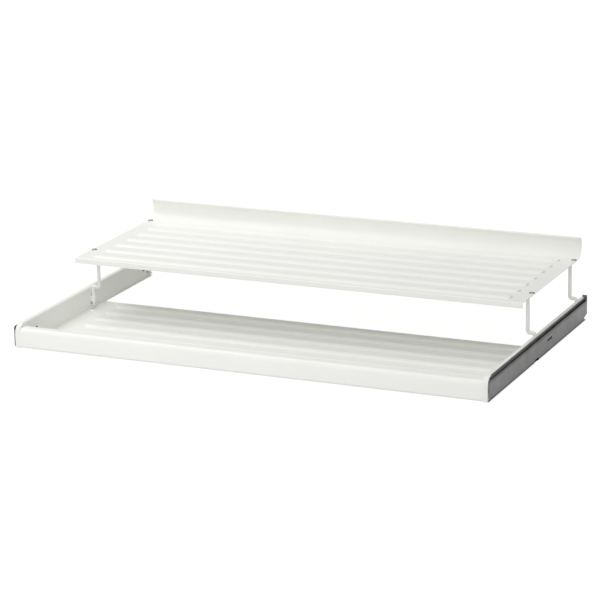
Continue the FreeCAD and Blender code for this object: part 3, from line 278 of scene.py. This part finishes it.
def clean(piece):
    """Merge points that coincide, drop what collapses, and turn every face outwards."""
    work = bmesh.new()
    work.from_mesh(piece.data)
    bmesh.ops.remove_doubles(work, verts=work.verts, dist=SAME_POINT)
    bmesh.ops.dissolve_degenerate(work, edges=work.edges, dist=NO_LENGTH)
    bmesh.ops.recalc_face_normals(work, faces=work.faces)
    work.to_mesh(piece.data)
    work.free()
    piece.data.update()
    return piece


def round_edges(piece, width, segments=2, angle=35):
    """Ease the cut or moulded edges that turn by more than angle, as paint or a mould does."""
    bevel = piece.modifiers.new("eased_edges", "BEVEL")
    bevel.width = width * MM
    bevel.segments = segments
    bevel.limit_method = "ANGLE"
    bevel.angle_limit = math.radians(angle)
    bevel.harden_normals = True


def rounded_path(corners, step):
    """Points along straight runs through the corners, each given as coordinates and a radius last.
    At a corner where the path turns by t, its arc of radius r starts r * tan(t / 2) before the corner,
    and runs on as start + r * (sin(a) * onward + (1 - cos(a)) * sideways) for a from 0 to t."""
    places = np.array([corner[:-1] for corner in corners], float)
    route = [places[:1]]
    for before, here, after, (*_, radius) in zip(places, places[1:], places[2:], corners[1:-1]):
        onward = (here - before) / np.linalg.norm(here - before)
        leaving = (after - here) / np.linalg.norm(after - here)
        sideways = leaving - onward * (leaving @ onward)
        turn = math.acos(np.clip(leaving @ onward, -1, 1))
        sideways /= np.linalg.norm(sideways)
        angle = np.linspace(0, turn, max(2, math.ceil(math.degrees(turn) / step) + 1))[:, None]
        start = here - onward * radius * math.tan(turn / 2)
        route.append(start + radius * (np.sin(angle) * onward + (1 - np.cos(angle)) * sideways))
    route.append(places[-1:])
    return np.concatenate(route)


def lines_between(*spans):
    """Grid lines from spans of (start, end, step), each with even steps close to the one asked for."""
    parts = [np.linspace(a, b, max(1, round(abs(b - a) / step)) + 1) for a, b, step in spans]
    return np.unique(np.round(np.concatenate(parts), 5))


def mirrored(lines, wide_lines=9):
    """Grid lines across the rack: these on the right, the same on the left, and a few wide ones between."""
    return np.unique(np.concatenate([-lines, lines, np.linspace(-lines[0], lines[0], wide_lines)]))


print("quads of a tube of 3 rings with 8 points:", len(grid_faces(3, 8, close_columns=True)))


# %% [markdown]
# ## The ribbed shelves
# Each shelf is one steel sheet, 1 mm thick, with seven ribs pressed up into it. A press tool has no sharp
# corners, so the ribs run into the flat with a small radius and end in steep rounded ramps. The sheet could be
# modelled flat and the ribs sculpted, but the whole thing is a height over two parameters: across the rack,
# and along the sheet's own path from the front lip, over the flat, up the back flange and round its hem.
# The punched holes for the wires are left out of the grid, and a ring of cells joins each to the sheet.

# %% ribs
SHEET = 1.0
CUT_EDGE = 0.2
RIB_COUNT, RIB_PITCH, RIB_WIDTH, RIB_HEIGHT = 7, 45.4, 28.0, 3.0
RAMP_SLOPE, CREST_RADIUS, FOOT_RADIUS = 3.0, 0.7, 0.3
FAR_BELOW = -8.0
RIM_MARGIN = 0.6
FRONT = cad_box[0][1] / MM


def rib_height(across, along, first, half_length):
    """Height of the ribs over the flat. The section is the parabola rise * (1 - (d / half width)^2), and the
    ends are ramps: slope times the distance from the rib's end, which is a half circle in plan and so draws
    in by w - sqrt(w^2 - d^2) for the half width w. The lower of the two, rounded by
    (a + b - sqrt((a - b)^2 + r^2)) / 2, and then the higher of that and the flat, rounded in the same way.
    Far from the ribs the ramps would fall without end, so they stop at FAR_BELOW."""
    nearest = first + RIB_PITCH * np.clip(np.round((along - first) / RIB_PITCH), 0, RIB_COUNT - 1)
    share = ((along - nearest) / (RIB_WIDTH / 2)) ** 2
    arc = RIB_HEIGHT * (1 - share)
    drawn_in = RIB_WIDTH / 2 * (1 - np.sqrt(np.clip(1 - share, 0, 1)))
    ramp_up = RAMP_SLOPE * (half_length - drawn_in - np.abs(across))
    lower = (arc + ramp_up - np.sqrt((arc - ramp_up) ** 2 + CREST_RADIUS ** 2)) / 2
    lower = np.maximum(lower, FAR_BELOW)
    return (lower + np.sqrt(lower ** 2 + FOOT_RADIUS ** 2)) / 2


def ribbed_sheet(name, across, path, flat, ribs, holes):
    """A sheet over the grid lines across and the points of its path (along, up). Ribs is (first, half length),
    on the part of the path whose numbers lie in flat; each hole is (x, y, half width, half depth). Round a
    hole, each rim point of the grid has its partner on the ellipse, at 1 / sqrt((x / a)^2 + (y / b)^2) of
    its way from the middle."""
    x, along = np.meshgrid(across, path[:, 0], indexing="ij")
    up = np.broadcast_to(path[:, 1], x.shape).copy()
    height = rib_height(x, along, *ribs)
    up[:, flat] += height[:, flat]
    points = np.stack([x, along + FRONT, up], axis=-1).reshape(-1, 3)
    rows, columns = x.shape
    index = np.arange(rows * columns).reshape(rows, columns)
    keep = np.ones((rows - 1, columns - 1), bool)
    level_part = path[flat.start:flat.stop + 3, 0]
    extra_points, extra_faces, count = [], [], len(points)
    for hole_x, hole_y, half_x, half_y in holes:
        i0 = np.searchsorted(across, hole_x - half_x - RIM_MARGIN) - 1
        i1 = min(np.searchsorted(across, hole_x + half_x + RIM_MARGIN), rows - 1)
        j0 = flat.start + np.searchsorted(level_part, hole_y - half_y - RIM_MARGIN) - 1
        j1 = flat.start + np.searchsorted(level_part, hole_y + half_y + RIM_MARGIN)
        keep[i0:i1, j0:j1] = False
        rim = np.concatenate([index[i0:i1, j0], index[i1, j0:j1], index[i1:i0:-1, j1], index[i0, j1:j0:-1]])
        ray = points[rim, :2] - [hole_x, hole_y + FRONT]
        reach = 1 / np.sqrt((ray[:, 0] / half_x) ** 2 + (ray[:, 1] / half_y) ** 2)
        edge = np.column_stack([ray * reach[:, None] + [hole_x, hole_y + FRONT], points[rim, 2]])
        new = count + np.arange(len(rim))
        extra_points.append(edge)
        extra_faces.append(np.stack([rim, np.roll(rim, -1), np.roll(new, -1), new], axis=-1))
        count += len(rim)
    faces = grid_faces(rows, columns)[keep.reshape(-1)]
    sheet = add_piece(name, np.concatenate([points, *extra_points]), np.concatenate([faces, *extra_faces]),
                      "tray", powder_coat)
    wall = sheet.modifiers.new("sheet_thickness", "SOLIDIFY")
    wall.thickness = SHEET * MM
    wall.offset = 0.0
    wall.use_even_offset = True
    round_edges(sheet, CUT_EDGE)
    print(name, len(points), "points,", RIB_COUNT, "ribs,", len(holes), "holes")
    return sheet


print("rib height at its middle:", round(float(rib_height(0.0, 0.0, 0.0, RIB_PITCH)), 2), "mm")

# %% [markdown]
# ## The upper shelf
# Its path is the sheet's middle line, half a sheet inside the outer sizes. The flange leans forward at its top
# and runs straight into the hem, a roll of 310 degrees round a point beside the lean. Lines of the grid are
# close where a rib ends or a hole is, and far apart between.

# %% upper shelf
UPPER_FRONT, UPPER_LEVEL, UPPER_HALF = 222.0, 122.0, 464.5
DEPTH, LIP, FLANGE, HEM = 564.0, 10.7, 41.0, 4.4
LIP_BEND, FLANGE_BEND, BOW_BEND = 1.5, 22.5, 25.5
LEAN_IN, BOW_HEIGHT = 5.0, 11.0
FLAT_START, FLAT_END = UPPER_FRONT + 2.5, DEPTH - 23.2
ROLL_START, ROLL_END, ROLL_POINTS = 24.4, 335, 34
UPPER_RIB, UPPER_RIB_MARGIN = UPPER_FRONT + 27.5, 31
WIRE_FRONT, WIRE_BACK, TIP_X = 290.0, 535.0, 458.2
HOLE_SHIFT, HOLE_HALF_X, HOLE_HALF_Y = 0.9, 5.3, 5.2
UPPER_MID = UPPER_LEVEL - SHEET / 2
lip_y, back_y = UPPER_FRONT + SHEET / 2, DEPTH - SHEET / 2
top = UPPER_LEVEL + FLANGE

lean = np.array([-LEAN_IN, BOW_HEIGHT]) / math.hypot(LEAN_IN, BOW_HEIGHT)
roll_radius = (HEM - SHEET) / 2
roll_height = top - HEM / 2
climb = roll_height + roll_radius * -lean[0] - top + BOW_HEIGHT
on_lean = np.array([back_y, top - BOW_HEIGHT]) + lean * climb / lean[1]
roll_centre = on_lean - roll_radius * np.array([lean[1], -lean[0]])
roll_angle = np.radians(np.linspace(ROLL_START, ROLL_END, ROLL_POINTS))

front_part = rounded_path([(lip_y, UPPER_LEVEL - LIP, 0), (lip_y, UPPER_MID, LIP_BEND),
                           (FLAT_START, UPPER_MID, 0)], step=8)[:-1]
flat_lines = lines_between((FLAT_START, FLAT_END, 1.4), (286, 297, 0.7), (531, 540.5, 0.7))
flat_part = np.column_stack([flat_lines, np.full(len(flat_lines), UPPER_MID)])
back_part = rounded_path([(FLAT_END, UPPER_MID, 0), (back_y, UPPER_MID, FLANGE_BEND),
                          (back_y, top - BOW_HEIGHT, BOW_BEND), (*on_lean, 0)], step=4)[1:-1]
hem_part = roll_centre + roll_radius * np.column_stack([np.cos(roll_angle), np.sin(roll_angle)])
upper_path = np.concatenate([front_part, flat_part, back_part, hem_part])
upper_flat = slice(len(front_part), len(front_part) + len(flat_part))
upper_across = mirrored(lines_between((422, 437, 0.5), (437, 451, 3), (451, UPPER_HALF, 0.75)))
upper_holes = [(side * TIP_X, wire_y + HOLE_SHIFT, HOLE_HALF_X, HOLE_HALF_Y)
               for side in SIDES.values() for wire_y in (WIRE_FRONT, WIRE_BACK)]
upper_shelf = ribbed_sheet("upper_shelf_sheet", upper_across, upper_path, upper_flat,
                           (UPPER_RIB, UPPER_HALF - UPPER_RIB_MARGIN), upper_holes)
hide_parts("upper_shelf")

# %% [markdown]
# ## The lower shelf
# It lies in the frame with its front edge over the front rail's foot, 1 mm higher than the rest. The step
# between the two levels is a short S, given by five points of the middle line.

# %% lower shelf
LOWER_HALF, LOWER_FRONT, LOWER_REAR = 467.5, 7.0, 340.0
LOWER_MID = 0.5 + SHEET / 2
STEP_START, STEP_END = 20.3, 22.3
LOWER_RIB, LOWER_RIB_MARGIN = 42.0, 42.5
LOWER_HOLE_Y, LOWER_HOLE_HALF_X, LOWER_HOLE_HALF_Y = 271.0, 6.0, 4.0
joggle = np.array([(LOWER_FRONT, 1), (STEP_START - 0.2, 1), (STEP_START + 0.3, 0.85), (STEP_END - 0.3, 0.15),
                   (STEP_END + 0.1, 0.01)]) + [0, LOWER_MID]
flat_lines = lines_between((STEP_END + 0.3, LOWER_REAR, 1.4), (265, 277, 0.7))
flat_part = np.column_stack([flat_lines, np.full(len(flat_lines), LOWER_MID)])
lower_path = np.concatenate([joggle, flat_part])
lower_flat = slice(len(joggle), len(lower_path))
side_lines = lines_between((414, 429, 0.5), (429, 451, 3), (451, LOWER_HALF - 1, 0.9))
lower_across = mirrored(np.append(side_lines, LOWER_HALF))
lower_holes = [(side * TIP_X, LOWER_HOLE_Y, LOWER_HOLE_HALF_X, LOWER_HOLE_HALF_Y) for side in SIDES.values()]
lower_shelf = ribbed_sheet("lower_shelf_sheet", lower_across, lower_path, lower_flat,
                           (LOWER_RIB, LOWER_HALF - LOWER_RIB_MARGIN), lower_holes)
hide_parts("lower_shelf")

# %% [markdown]
# ## The front rail
# The front rail is roll-formed: one strip bent into a bullnose channel, the same along its whole length. So it
# is one closed section, drawn as the strip's middle line with the sheet laid on both sides of it, and
# carried across the rack.


# %% front rail
def strip_section(path, thickness):
    """The closed outline of a strip of that thickness round a middle line in the plane: each point moved
    half the thickness along the line's normal, out one way and back the other."""
    run = np.gradient(path, axis=0)
    normal = np.column_stack([-run[:, 1], run[:, 0]])
    normal /= np.linalg.norm(normal, axis=1)[:, None]
    return np.concatenate([path + normal * thickness / 2, (path - normal * thickness / 2)[::-1]])


def carry_across(name, outline, half_width, body, material):
    """A closed outline (along, up) carried from one side to the other, with both ends closed."""
    count = len(outline)
    x = np.repeat([-half_width, half_width], count)
    points = np.column_stack([x, np.tile(outline[:, 0] + FRONT, 2), np.tile(outline[:, 1], 2)])
    sides = grid_faces(2, count, close_columns=True)
    ends = [list(range(count)), list(range(2 * count - 1, count - 1, -1))]
    return add_piece(name, points, [*sides.tolist(), *ends], body, material)


FRONT_HEIGHT, FRONT_DEPTH = 39.0, 24.0
FOOT_DEPTH, FOOT_MID, BACK_EDGE = 20.0, 1.0, 27.0
LOWER_BEND, UPPER_BEND, BACK_BEND = 5.5, 9.5, 2.5
face, crown, back = SHEET / 2, FRONT_HEIGHT - SHEET / 2, FRONT_DEPTH - SHEET / 2
front_line = rounded_path([(FOOT_DEPTH, FOOT_MID, 0), (face, FOOT_MID, LOWER_BEND), (face, crown, UPPER_BEND),
                           (back, crown, BACK_BEND), (back, BACK_EDGE, 0)], step=5)
front_rail = carry_across("front_rail_channel", strip_section(front_line, SHEET), LOWER_HALF,
                          "tray", powder_coat)
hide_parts("front_rail")
print("front rail outline:", len(front_line), "points")

# %% [markdown]
# ## The wire supports
# Four bent wires, 7 mm thick, stand on tongues of the side rails, jog in from the rail, rise, and step out
# again to upturned tips in the shelf's holes. A wire could be a curve with a round bevel. Here each is a circle
# carried along its middle line. The line stays in one plane, so the circle's two directions are the plane's
# normal and the line's own, and the ring never twists. The cut ends are eased, as a tumbled wire's are.

# %% wires
WEB_INSIDE, WIRE_RADIUS, WIRE_PLAY = 467.8, 3.5, 0.1
LOW_X, LEG_X = WEB_INSIDE - WIRE_RADIUS - WIRE_PLAY, TIP_X - 7.7
WIRE_FOOT, JOG_LEVEL, WIRE_BEND = 10.0, 45.5, 4.5
SHELF_UNDERSIDE = UPPER_LEVEL - SHEET
SHOULDER = SHELF_UNDERSIDE - WIRE_RADIUS - 0.3
STEP_BEND = 0.49 * (TIP_X - LEG_X)
TIP_TOP = UPPER_LEVEL + 0.4
Y_AXIS = np.array([0.0, 1.0, 0.0])


def wire(name, corners, radius, body, material):
    """A circle carried along a path in the XZ plane: centre + r * (cos(a) * side + sin(a) * Y), closed by
    smaller rings and a pole at each end."""
    line = rounded_path(corners, step=6)
    run = np.gradient(line, axis=0)
    run /= np.linalg.norm(run, axis=1)[:, None]
    ease = radius / 4
    inward = np.array([0.0, 0.15, 0.5, 1.0]) * ease
    shrink = radius - ease + np.sqrt(np.maximum(ease ** 2 - (ease - inward) ** 2, 0))
    start = line[0] + run[0] * inward[:, None]
    end = line[-1] - run[-1] * inward[::-1, None]
    centres = np.concatenate([line[:1], start, line[1:-1], end, line[-1:]])
    radii = np.concatenate([[0.0], shrink, np.full(len(line) - 2, radius), shrink[::-1], [0.0]])
    caps = len(inward) + 1
    run = np.concatenate([np.repeat(run[:1], caps, axis=0), run[1:-1], np.repeat(run[-1:], caps, axis=0)])
    side = np.cross(run, Y_AXIS)
    angle = np.linspace(0, 2 * np.pi, 24, endpoint=False)
    ring = np.cos(angle)[None, :, None] * side[:, None] + np.sin(angle)[None, :, None] * Y_AXIS
    points = centres[:, None] + radii[:, None, None] * ring
    piece = add_piece(name, points.reshape(-1, 3), grid_faces(len(centres), len(angle), close_columns=True),
                      body, material, sharp=60)
    return clean(piece)


for side_name, side in SIDES.items():
    for place_name, along in (("front", WIRE_FRONT), ("back", WIRE_BACK)):
        stops = [(LOW_X, WIRE_FOOT, 0), (LOW_X, JOG_LEVEL, WIRE_BEND), (LEG_X, JOG_LEVEL, WIRE_BEND),
                 (LEG_X, SHOULDER, STEP_BEND), (TIP_X, SHOULDER, STEP_BEND), (TIP_X, TIP_TOP, 0)]
        corners = [(side * x, along + FRONT, z, bend) for x, z, bend in stops]
        support = wire(f"wire_{place_name}_{side_name}", corners, WIRE_RADIUS,
                       "tray", powder_coat)
        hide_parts(f"wire_support_{place_name}_{side_name}")
        print(support.name, len(support.data.vertices), "points")

# %% [markdown]
# ## The bushes round the wires' tips
# A soft ring in each hole keeps the sheet from rattling on its wire. It is moulded with a low collar that grips
# the sheet from above. Its outer wall follows the hole and its bore the wire, which stands a little in front of
# the hole's middle. So the ring is a section carried round between two closed curves. Each point of the section
# is a share of the way from the bore, 0, to the outer wall, 1, and a height.

# %% bushes
COLLAR, COLLAR_EASE, BUSH_PLAY, BUSH_SPOKES = 0.7, 0.14, 0.05, 40
angle = np.linspace(0, 2 * np.pi, BUSH_SPOKES, endpoint=False)
circle = np.column_stack([np.cos(angle), np.sin(angle)])
collar_side, collar_top = UPPER_LEVEL + COLLAR / 2, UPPER_LEVEL + COLLAR
section = [(1, SHELF_UNDERSIDE), (1, UPPER_LEVEL), (1, collar_side), (1 - COLLAR_EASE, collar_top),
           (COLLAR_EASE, collar_top), (0, collar_side), (0, SHELF_UNDERSIDE)]
ring_faces = grid_faces(len(section), BUSH_SPOKES, True, True)
bush_points, bush_faces = [], []
for number, (hole_x, hole_y, half_x, half_y) in enumerate(upper_holes):
    outer = circle * [half_x - BUSH_PLAY, half_y - BUSH_PLAY] + [hole_x, hole_y + FRONT]
    bore = circle * (WIRE_RADIUS + BUSH_PLAY) + [hole_x, hole_y - HOLE_SHIFT + FRONT]
    bush_faces.append(ring_faces + number * len(section) * BUSH_SPOKES)
    bush_points += [np.column_stack([bore + (outer - bore) * share, np.full(BUSH_SPOKES, height)])
                    for share, height in section]
bushes = clean(add_piece("wire_bush_rings", np.concatenate(bush_points), np.concatenate(bush_faces), "tray",
                         rubber, sharp=50))
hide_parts("wire_bushes")
print("bushes:", len(upper_holes))

# %% [markdown]
# ## Folded, moulded and rolled pieces
# The side rails, end caps, brackets and slide members already have their true shape in the CAD model. Its
# triangles are loose and flat-shaded, so each piece is a copy with its points merged, its flat faces joined
# and its edges eased by the radius that bending, moulding or stamping leaves. That keeps every size.

# %% eased copies of CAD nodes
FLAT_ANGLE = math.radians(0.6)
COPIES = [("side_rail_{}", "tray", "white_steel", powder_coat, 0.25),
          ("end_cap_{}", "tray", "white_plastic", moulded_white, 0.6),
          ("corner_bracket_{}", "tray", "zinc_steel", bracket_zinc, 0.2),
          ("cabinet_member_{}", "cabinet_rails", "zinc_steel", zinc_plate, 0.15),
          ("middle_member_{}", "middle_slide_{}", "zinc_steel", zinc_plate, 0.12),
          ("tray_member_{}", "tray", "zinc_steel", zinc_plate, 0.15),
          ("outer_cage_{}", "outer_cage_{}", "cage_steel", cage_steel, 0.1),
          ("inner_cage_{}", "inner_cage_{}", "cage_steel", cage_steel, 0.1),
          ("bumper_{}", "cabinet_rails", "bumper_rubber", rubber, 0.6)]


def eased_copy(node, body, material, ease):
    """A copy of a CAD node with its points merged and flat neighbours joined, and its sharp edges eased."""
    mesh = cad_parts[node].data.copy()
    piece = bpy.data.objects.new(f"{node}_finished", mesh)
    work = bmesh.new()
    work.from_mesh(mesh)
    bmesh.ops.remove_doubles(work, verts=work.verts, dist=SAME_POINT)
    bmesh.ops.dissolve_limit(work, angle_limit=FLAT_ANGLE, verts=work.verts, edges=work.edges)
    work.to_mesh(mesh)
    work.free()
    dress(piece, body, material, sharp=32)
    round_edges(piece, ease)
    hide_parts(node)


for side_name in SIDES:
    for node, body, slot, material, ease in COPIES:
        eased_copy(node.format(side_name), body.format(side_name), material, ease)
print("eased copies:", len(COPIES) * len(SIDES))

# %% [markdown]
# ## Balls
# A bearing ball is ground to a mirror, so facets would show at once. Each is a sphere on a grid of
# longitude and latitude, at the place that the CAD model's ball has.

# %% balls
BALL_RADIUS = {"outer": 2.0, "inner": 1.75}
CLUSTER = [21.0, 15.0]


def spheres(name, centres, radius, body, material):
    """One sphere at each centre: centre + r * (cos(v) cos(u), cos(v) sin(u), sin(v))."""
    u = np.linspace(0, 2 * np.pi, 24, endpoint=False)
    v = np.linspace(-np.pi / 2, np.pi / 2, 13)
    ball = np.stack([np.cos(v)[:, None] * np.cos(u), np.cos(v)[:, None] * np.sin(u),
                     np.repeat(np.sin(v)[:, None], len(u), axis=1)], axis=-1).reshape(-1, 3)
    points = (np.asarray(centres)[:, None] + radius * ball).reshape(-1, 3)
    faces = grid_faces(len(v), len(u), close_columns=True)
    every = np.concatenate([faces + i * len(ball) for i in range(len(centres))])
    return clean(add_piece(name, points, every, body, material, sharp=80))


def ball_centres(node):
    """The middle of each ball in a CAD node, in millimetres, from the clusters of its points along Y and Z."""
    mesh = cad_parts[node].data
    flat = np.empty(len(mesh.vertices) * 3)
    mesh.vertices.foreach_get("co", flat)
    points = flat.reshape(-1, 3) / MM
    cell = np.round(points[:, [1, 2]] / CLUSTER).astype(int)
    groups = [points[(cell == key).all(axis=1)] for key in np.unique(cell, axis=0)]
    return [(group.min(axis=0) + group.max(axis=0)) / 2 for group in groups]


for side_name in SIDES:
    for row, radius in BALL_RADIUS.items():
        node = f"{row}_balls_{side_name}"
        centres = ball_centres(node)
        balls = spheres(f"{row}_ball_set_{side_name}", centres, radius, f"{row}_cage_{side_name}",
                        bearing_steel)
        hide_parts(node)
        print(node, len(centres), "balls")

# %% [markdown]
# ## Screws and rivets
# The slide screws have pan heads with a cross recess, and the rivets have plain domes. A head is a height over
# a disc: a dome that falls to the rim, less the recess, which is as deep as a driver goes wherever a
# point lies in one of the two arms. That is simpler than cutting a driver's shape out of a solid.

# %% screw and rivet heads
DOME_FALL = 0.55
ARM_WIDTH, ARM_REACH, ARM_SLOPE = 0.13, 0.52, 0.12
SCREW_LINES, SCREW_LEVEL = (64.0, 300.0, 514.0), 22.5
BRACKET_LINE, BRACKET_LEVELS, BRACKET_SHEET = 12.0, (11.8, 24.08), 1.6
RIVET_COUNT, RIVET_PITCH, RIVET_LINE, RIVET_SEAT = 5, 210.0, 13.5, 2.5


def head_surface(radius, height, recess, rings=26, spokes=48):
    """Points (right, up, out) of a head: out = height * sqrt(1 - 0.55 * (r / R)^4) less the cross recess,
    then a wall down to the seat and a pole that closes it."""
    r = np.concatenate([np.linspace(0, radius * 0.97, rings), [radius, radius, 0.0]])
    angle = np.linspace(0, 2 * np.pi, spokes, endpoint=False)
    right, up = r[:, None] * np.cos(angle), r[:, None] * np.sin(angle)
    out = height * np.sqrt(1 - DOME_FALL * (r[:, None] / radius) ** 4) * np.ones_like(right)
    arm, reach, slope = radius * ARM_WIDTH, radius * ARM_REACH, radius * ARM_SLOPE

    def in_arm(beside, lengthwise):
        """1 inside an arm of the cross and 0 outside it, with a slope between."""
        return (np.clip((arm + slope - np.abs(beside)) / slope, 0, 1)
                * np.clip((reach - np.abs(lengthwise)) / slope, 0, 1))

    out -= recess * np.maximum(in_arm(right, up), in_arm(up, right))
    out[-3] = height * 0.5
    out[-2:] = 0.0
    return np.stack([right, up, out], axis=-1), grid_faces(len(r), spokes, close_columns=True)


def heads(name, node, seats, radius, height, recess, material):
    """Heads at seats, each (place, right, up, out) in millimetres, joined into one piece."""
    surface, faces = head_surface(radius, height, recess)
    surface = surface.reshape(-1, 3)
    points = [place + surface @ np.array([right, up, out]) for place, right, up, out in seats]
    every = np.concatenate([faces + i * len(surface) for i in range(len(seats))])
    piece = clean(add_piece(name, np.concatenate(points), every, "tray", material, sharp=40))
    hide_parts(node)
    print(name, len(seats))


def side_seats(places, seat_x):
    """Seats at (line, level) on the inner faces of both side rails, heads pointing to the middle of the rack.
    Each is turned by another angle, as screws come to rest."""
    seats = []
    for side in SIDES.values():
        for number, (line, level) in enumerate(places):
            turn = math.radians(20 + 37 * number + 11 * side)
            right = np.array([0.0, math.cos(turn), math.sin(turn)])
            up = np.array([0.0, -math.sin(turn), math.cos(turn)])
            seat = np.array([side * seat_x, line + FRONT, level])
            seats.append((seat, right, up, np.array([-side, 0.0, 0.0])))
    return seats


heads("slide_screw_heads", "slide_screws",
      side_seats([(line, SCREW_LEVEL) for line in SCREW_LINES], WEB_INSIDE),
      4.0, 1.8, 1.3, black_oxide)
heads("bracket_screw_heads", "bracket_screws",
      side_seats([(BRACKET_LINE, level) for level in BRACKET_LEVELS], WEB_INSIDE - BRACKET_SHEET),
      3.5, 1.4, 1.0, bracket_zinc)
rivet_seats = [(np.array([(i - RIVET_COUNT // 2) * RIVET_PITCH, RIVET_LINE + FRONT, RIVET_SEAT]), *np.eye(3))
               for i in range(RIVET_COUNT)]
heads("shelf_rivet_heads", "shelf_rivets", rivet_seats, 3.8, 1.4, 0.0, powder_coat)

# %% [markdown]
# ## Studio
# A white floor under soft light. One broad softbox stands high on the left and gives the ribs their light side,
# a small low one in front lights the front rail, and wide suns from above and from the right fill in. Two
# black flags, which the camera doesn't see, stand behind and on the right: bright metal shows only what is
# around it, so they give the slide's rolled top its dark band. The floor could be lit to white by lamps alone,
# but then the rack would burn out. So for rays from the camera it glows by itself and keeps only a part of its
# shadow.

# %% floor, flags and sky
FLOOR_REACH = 40.0
FLOOR_WHITE, FLOOR_GLOW = (0.72, 0.22), (0.14, 0.9)
FLAGS = {"flag_behind": ((0.62, 1.0), (2.2, 1.0)), "flag_right": ((2.2, -0.6), (2.2, 1.0))}
FLAG_HEIGHT = 0.9
SKY = 0.415


def add_stage(name, corners, material):
    """One four-sided face of the studio, in metres."""
    mesh = bpy.data.meshes.new(name)
    mesh.from_pydata(corners, [], [(0, 1, 2, 3)])
    mesh.materials.append(material)
    panel = bpy.data.objects.new(name, mesh)
    bpy.context.scene.collection.objects.link(panel)
    return panel


floor_finish = bpy.data.materials.new("white_studio_floor")
tree = empty_tree(floor_finish)
light_path = add_node(tree, "ShaderNodeLightPath")
white, shine = (add_node(tree, "ShaderNodeMapRange", [(light_path, "Is Camera Ray", "Value")],
                         To_Min=unseen, To_Max=seen) for unseen, seen in (FLOOR_WHITE, FLOOR_GLOW))
plain = add_node(tree, "ShaderNodeBsdfDiffuse", [(white, "Result", "Color")])
glow = add_node(tree, "ShaderNodeEmission", [(shine, "Result", "Strength")])
both = add_node(tree, "ShaderNodeAddShader", [(plain, "BSDF", 0), (glow, "Emission", 1)])
add_node(tree, "ShaderNodeOutputMaterial", [(both, "Shader", "Surface")])
add_stage("studio_floor", [(-FLOOR_REACH, -FLOOR_REACH, 0), (FLOOR_REACH, -FLOOR_REACH, 0),
                           (FLOOR_REACH, FLOOR_REACH, 0), (-FLOOR_REACH, FLOOR_REACH, 0)], floor_finish)

flag_finish = speckled("black_flag_cloth", "060606", "030303", 4 * MM, 0.0, Roughness=0.9)
for name, ((x0, y0), (x1, y1)) in FLAGS.items():
    flag = add_stage(name, [(x0, y0, 0), (x1, y1, 0), (x1, y1, FLAG_HEIGHT), (x0, y0, FLAG_HEIGHT)],
                     flag_finish)
    flag.visible_camera = False

world = bpy.data.worlds.new("studio")
bpy.context.scene.world = world
tree = empty_tree(world)
light_path = add_node(tree, "ShaderNodeLightPath")
seen = add_node(tree, "ShaderNodeMath",
                [(light_path, "Is Camera Ray", 0), (light_path, "Is Transmission Ray", 1)], operation="MAXIMUM")
strength = add_node(tree, "ShaderNodeMapRange", [(seen, "Value", "Value")], To_Min=SKY, To_Max=1.0)
sky = add_node(tree, "ShaderNodeBackground", [(strength, "Result", "Strength")], Color=(1, 1, 1, 1))
add_node(tree, "ShaderNodeOutputWorld", [(sky, "Background", "Surface")])
print("floor, flags:", 1 + len(FLAGS))

# %% [markdown]
# ## Lamps
# Each sun is (strength, azimuth, elevation, width in degrees) and each softbox (watts, place, size in metres).
# Their strengths were found by rendering one lamp at a time and weighing the pictures: light adds up, so the
# sum can be fitted to the tones wanted on the ribs, the rails and the front.

# %% lamps
RACK_MIDDLE = (0.0, 0.0, 0.08)
SUNS = {"overhead_light": (0.42, 250, 88, 90), "high_light": (0.2, 270, 60, 40),
        "fill_light": (0.72, 300, 30, 50)}
SOFTBOXES = {"key_softbox": (10.6, (-1.0, 0.2, 1.6), 1.2), "low_softbox": (1.75, (-0.35, -1.3, 0.3), 0.8)}


def add_lamp(name, kind, energy):
    """A lamp in the scene; returns its data and the object that holds it."""
    lamp = bpy.data.lights.new(name, kind)
    lamp.energy = energy
    holder = bpy.data.objects.new(name, lamp)
    bpy.context.scene.collection.objects.link(holder)
    return lamp, holder


for name, (energy, azimuth, elevation, width) in SUNS.items():
    lamp, holder = add_lamp(name, "SUN", energy)
    lamp.angle = math.radians(width)
    holder.rotation_euler = (math.radians(90 - elevation), 0, math.radians(azimuth + 90))
for name, (energy, place, size) in SOFTBOXES.items():
    lamp, holder = add_lamp(name, "AREA", energy)
    lamp.size = size
    holder.location = place
    holder.rotation_euler = (Vector(RACK_MIDDLE) - Vector(place)).to_track_quat("-Z", "Y").to_euler()
print("lamps:", len(SUNS) + len(SOFTBOXES))

# %% [markdown]
# ## Camera
# A long lens stands well back, in front on the right and a little above, so that the rack's long lines hardly
# run together. The camera looks along onward, and roll turns its right and up about that line.

# %% camera
YAW, PITCH, ROLL = (math.radians(v) for v in (24.322, 16.101, -1.192))
EYE = (2.051973, -4.559834, 1.509092)
FOCAL_LENGTH, SENSOR_WIDTH, CLIP_END = 162.618, 36.0, 200.0
onward = np.array([-math.sin(YAW) * math.cos(PITCH), math.cos(YAW) * math.cos(PITCH), -math.sin(PITCH)])
level_right = np.array([math.cos(YAW), math.sin(YAW), 0.0])
level_up = np.cross(level_right, onward)
right = math.cos(ROLL) * level_right + math.sin(ROLL) * level_up
up = -math.sin(ROLL) * level_right + math.cos(ROLL) * level_up
camera_data = bpy.data.cameras.new("camera")
camera_data.lens = FOCAL_LENGTH
camera_data.sensor_width = SENSOR_WIDTH
camera_data.clip_end = CLIP_END
camera = bpy.data.objects.new("camera", camera_data)
bpy.context.scene.collection.objects.link(camera)
turned = np.column_stack([right, up, -onward, EYE]).tolist()
camera.matrix_world = Matrix([*turned, [0, 0, 0, 1]])
bpy.context.scene.camera = camera
bpy.context.scene.view_settings.view_transform = "Standard"
print("camera at", EYE)

# %% [markdown]
# ## Sizes
# The dressed rack should fill the same box as the solids do. Only the solids' box is measured, at the start,
# and here the scene is brought up to date.

# %% sizes and the end
bpy.context.view_layer.update()
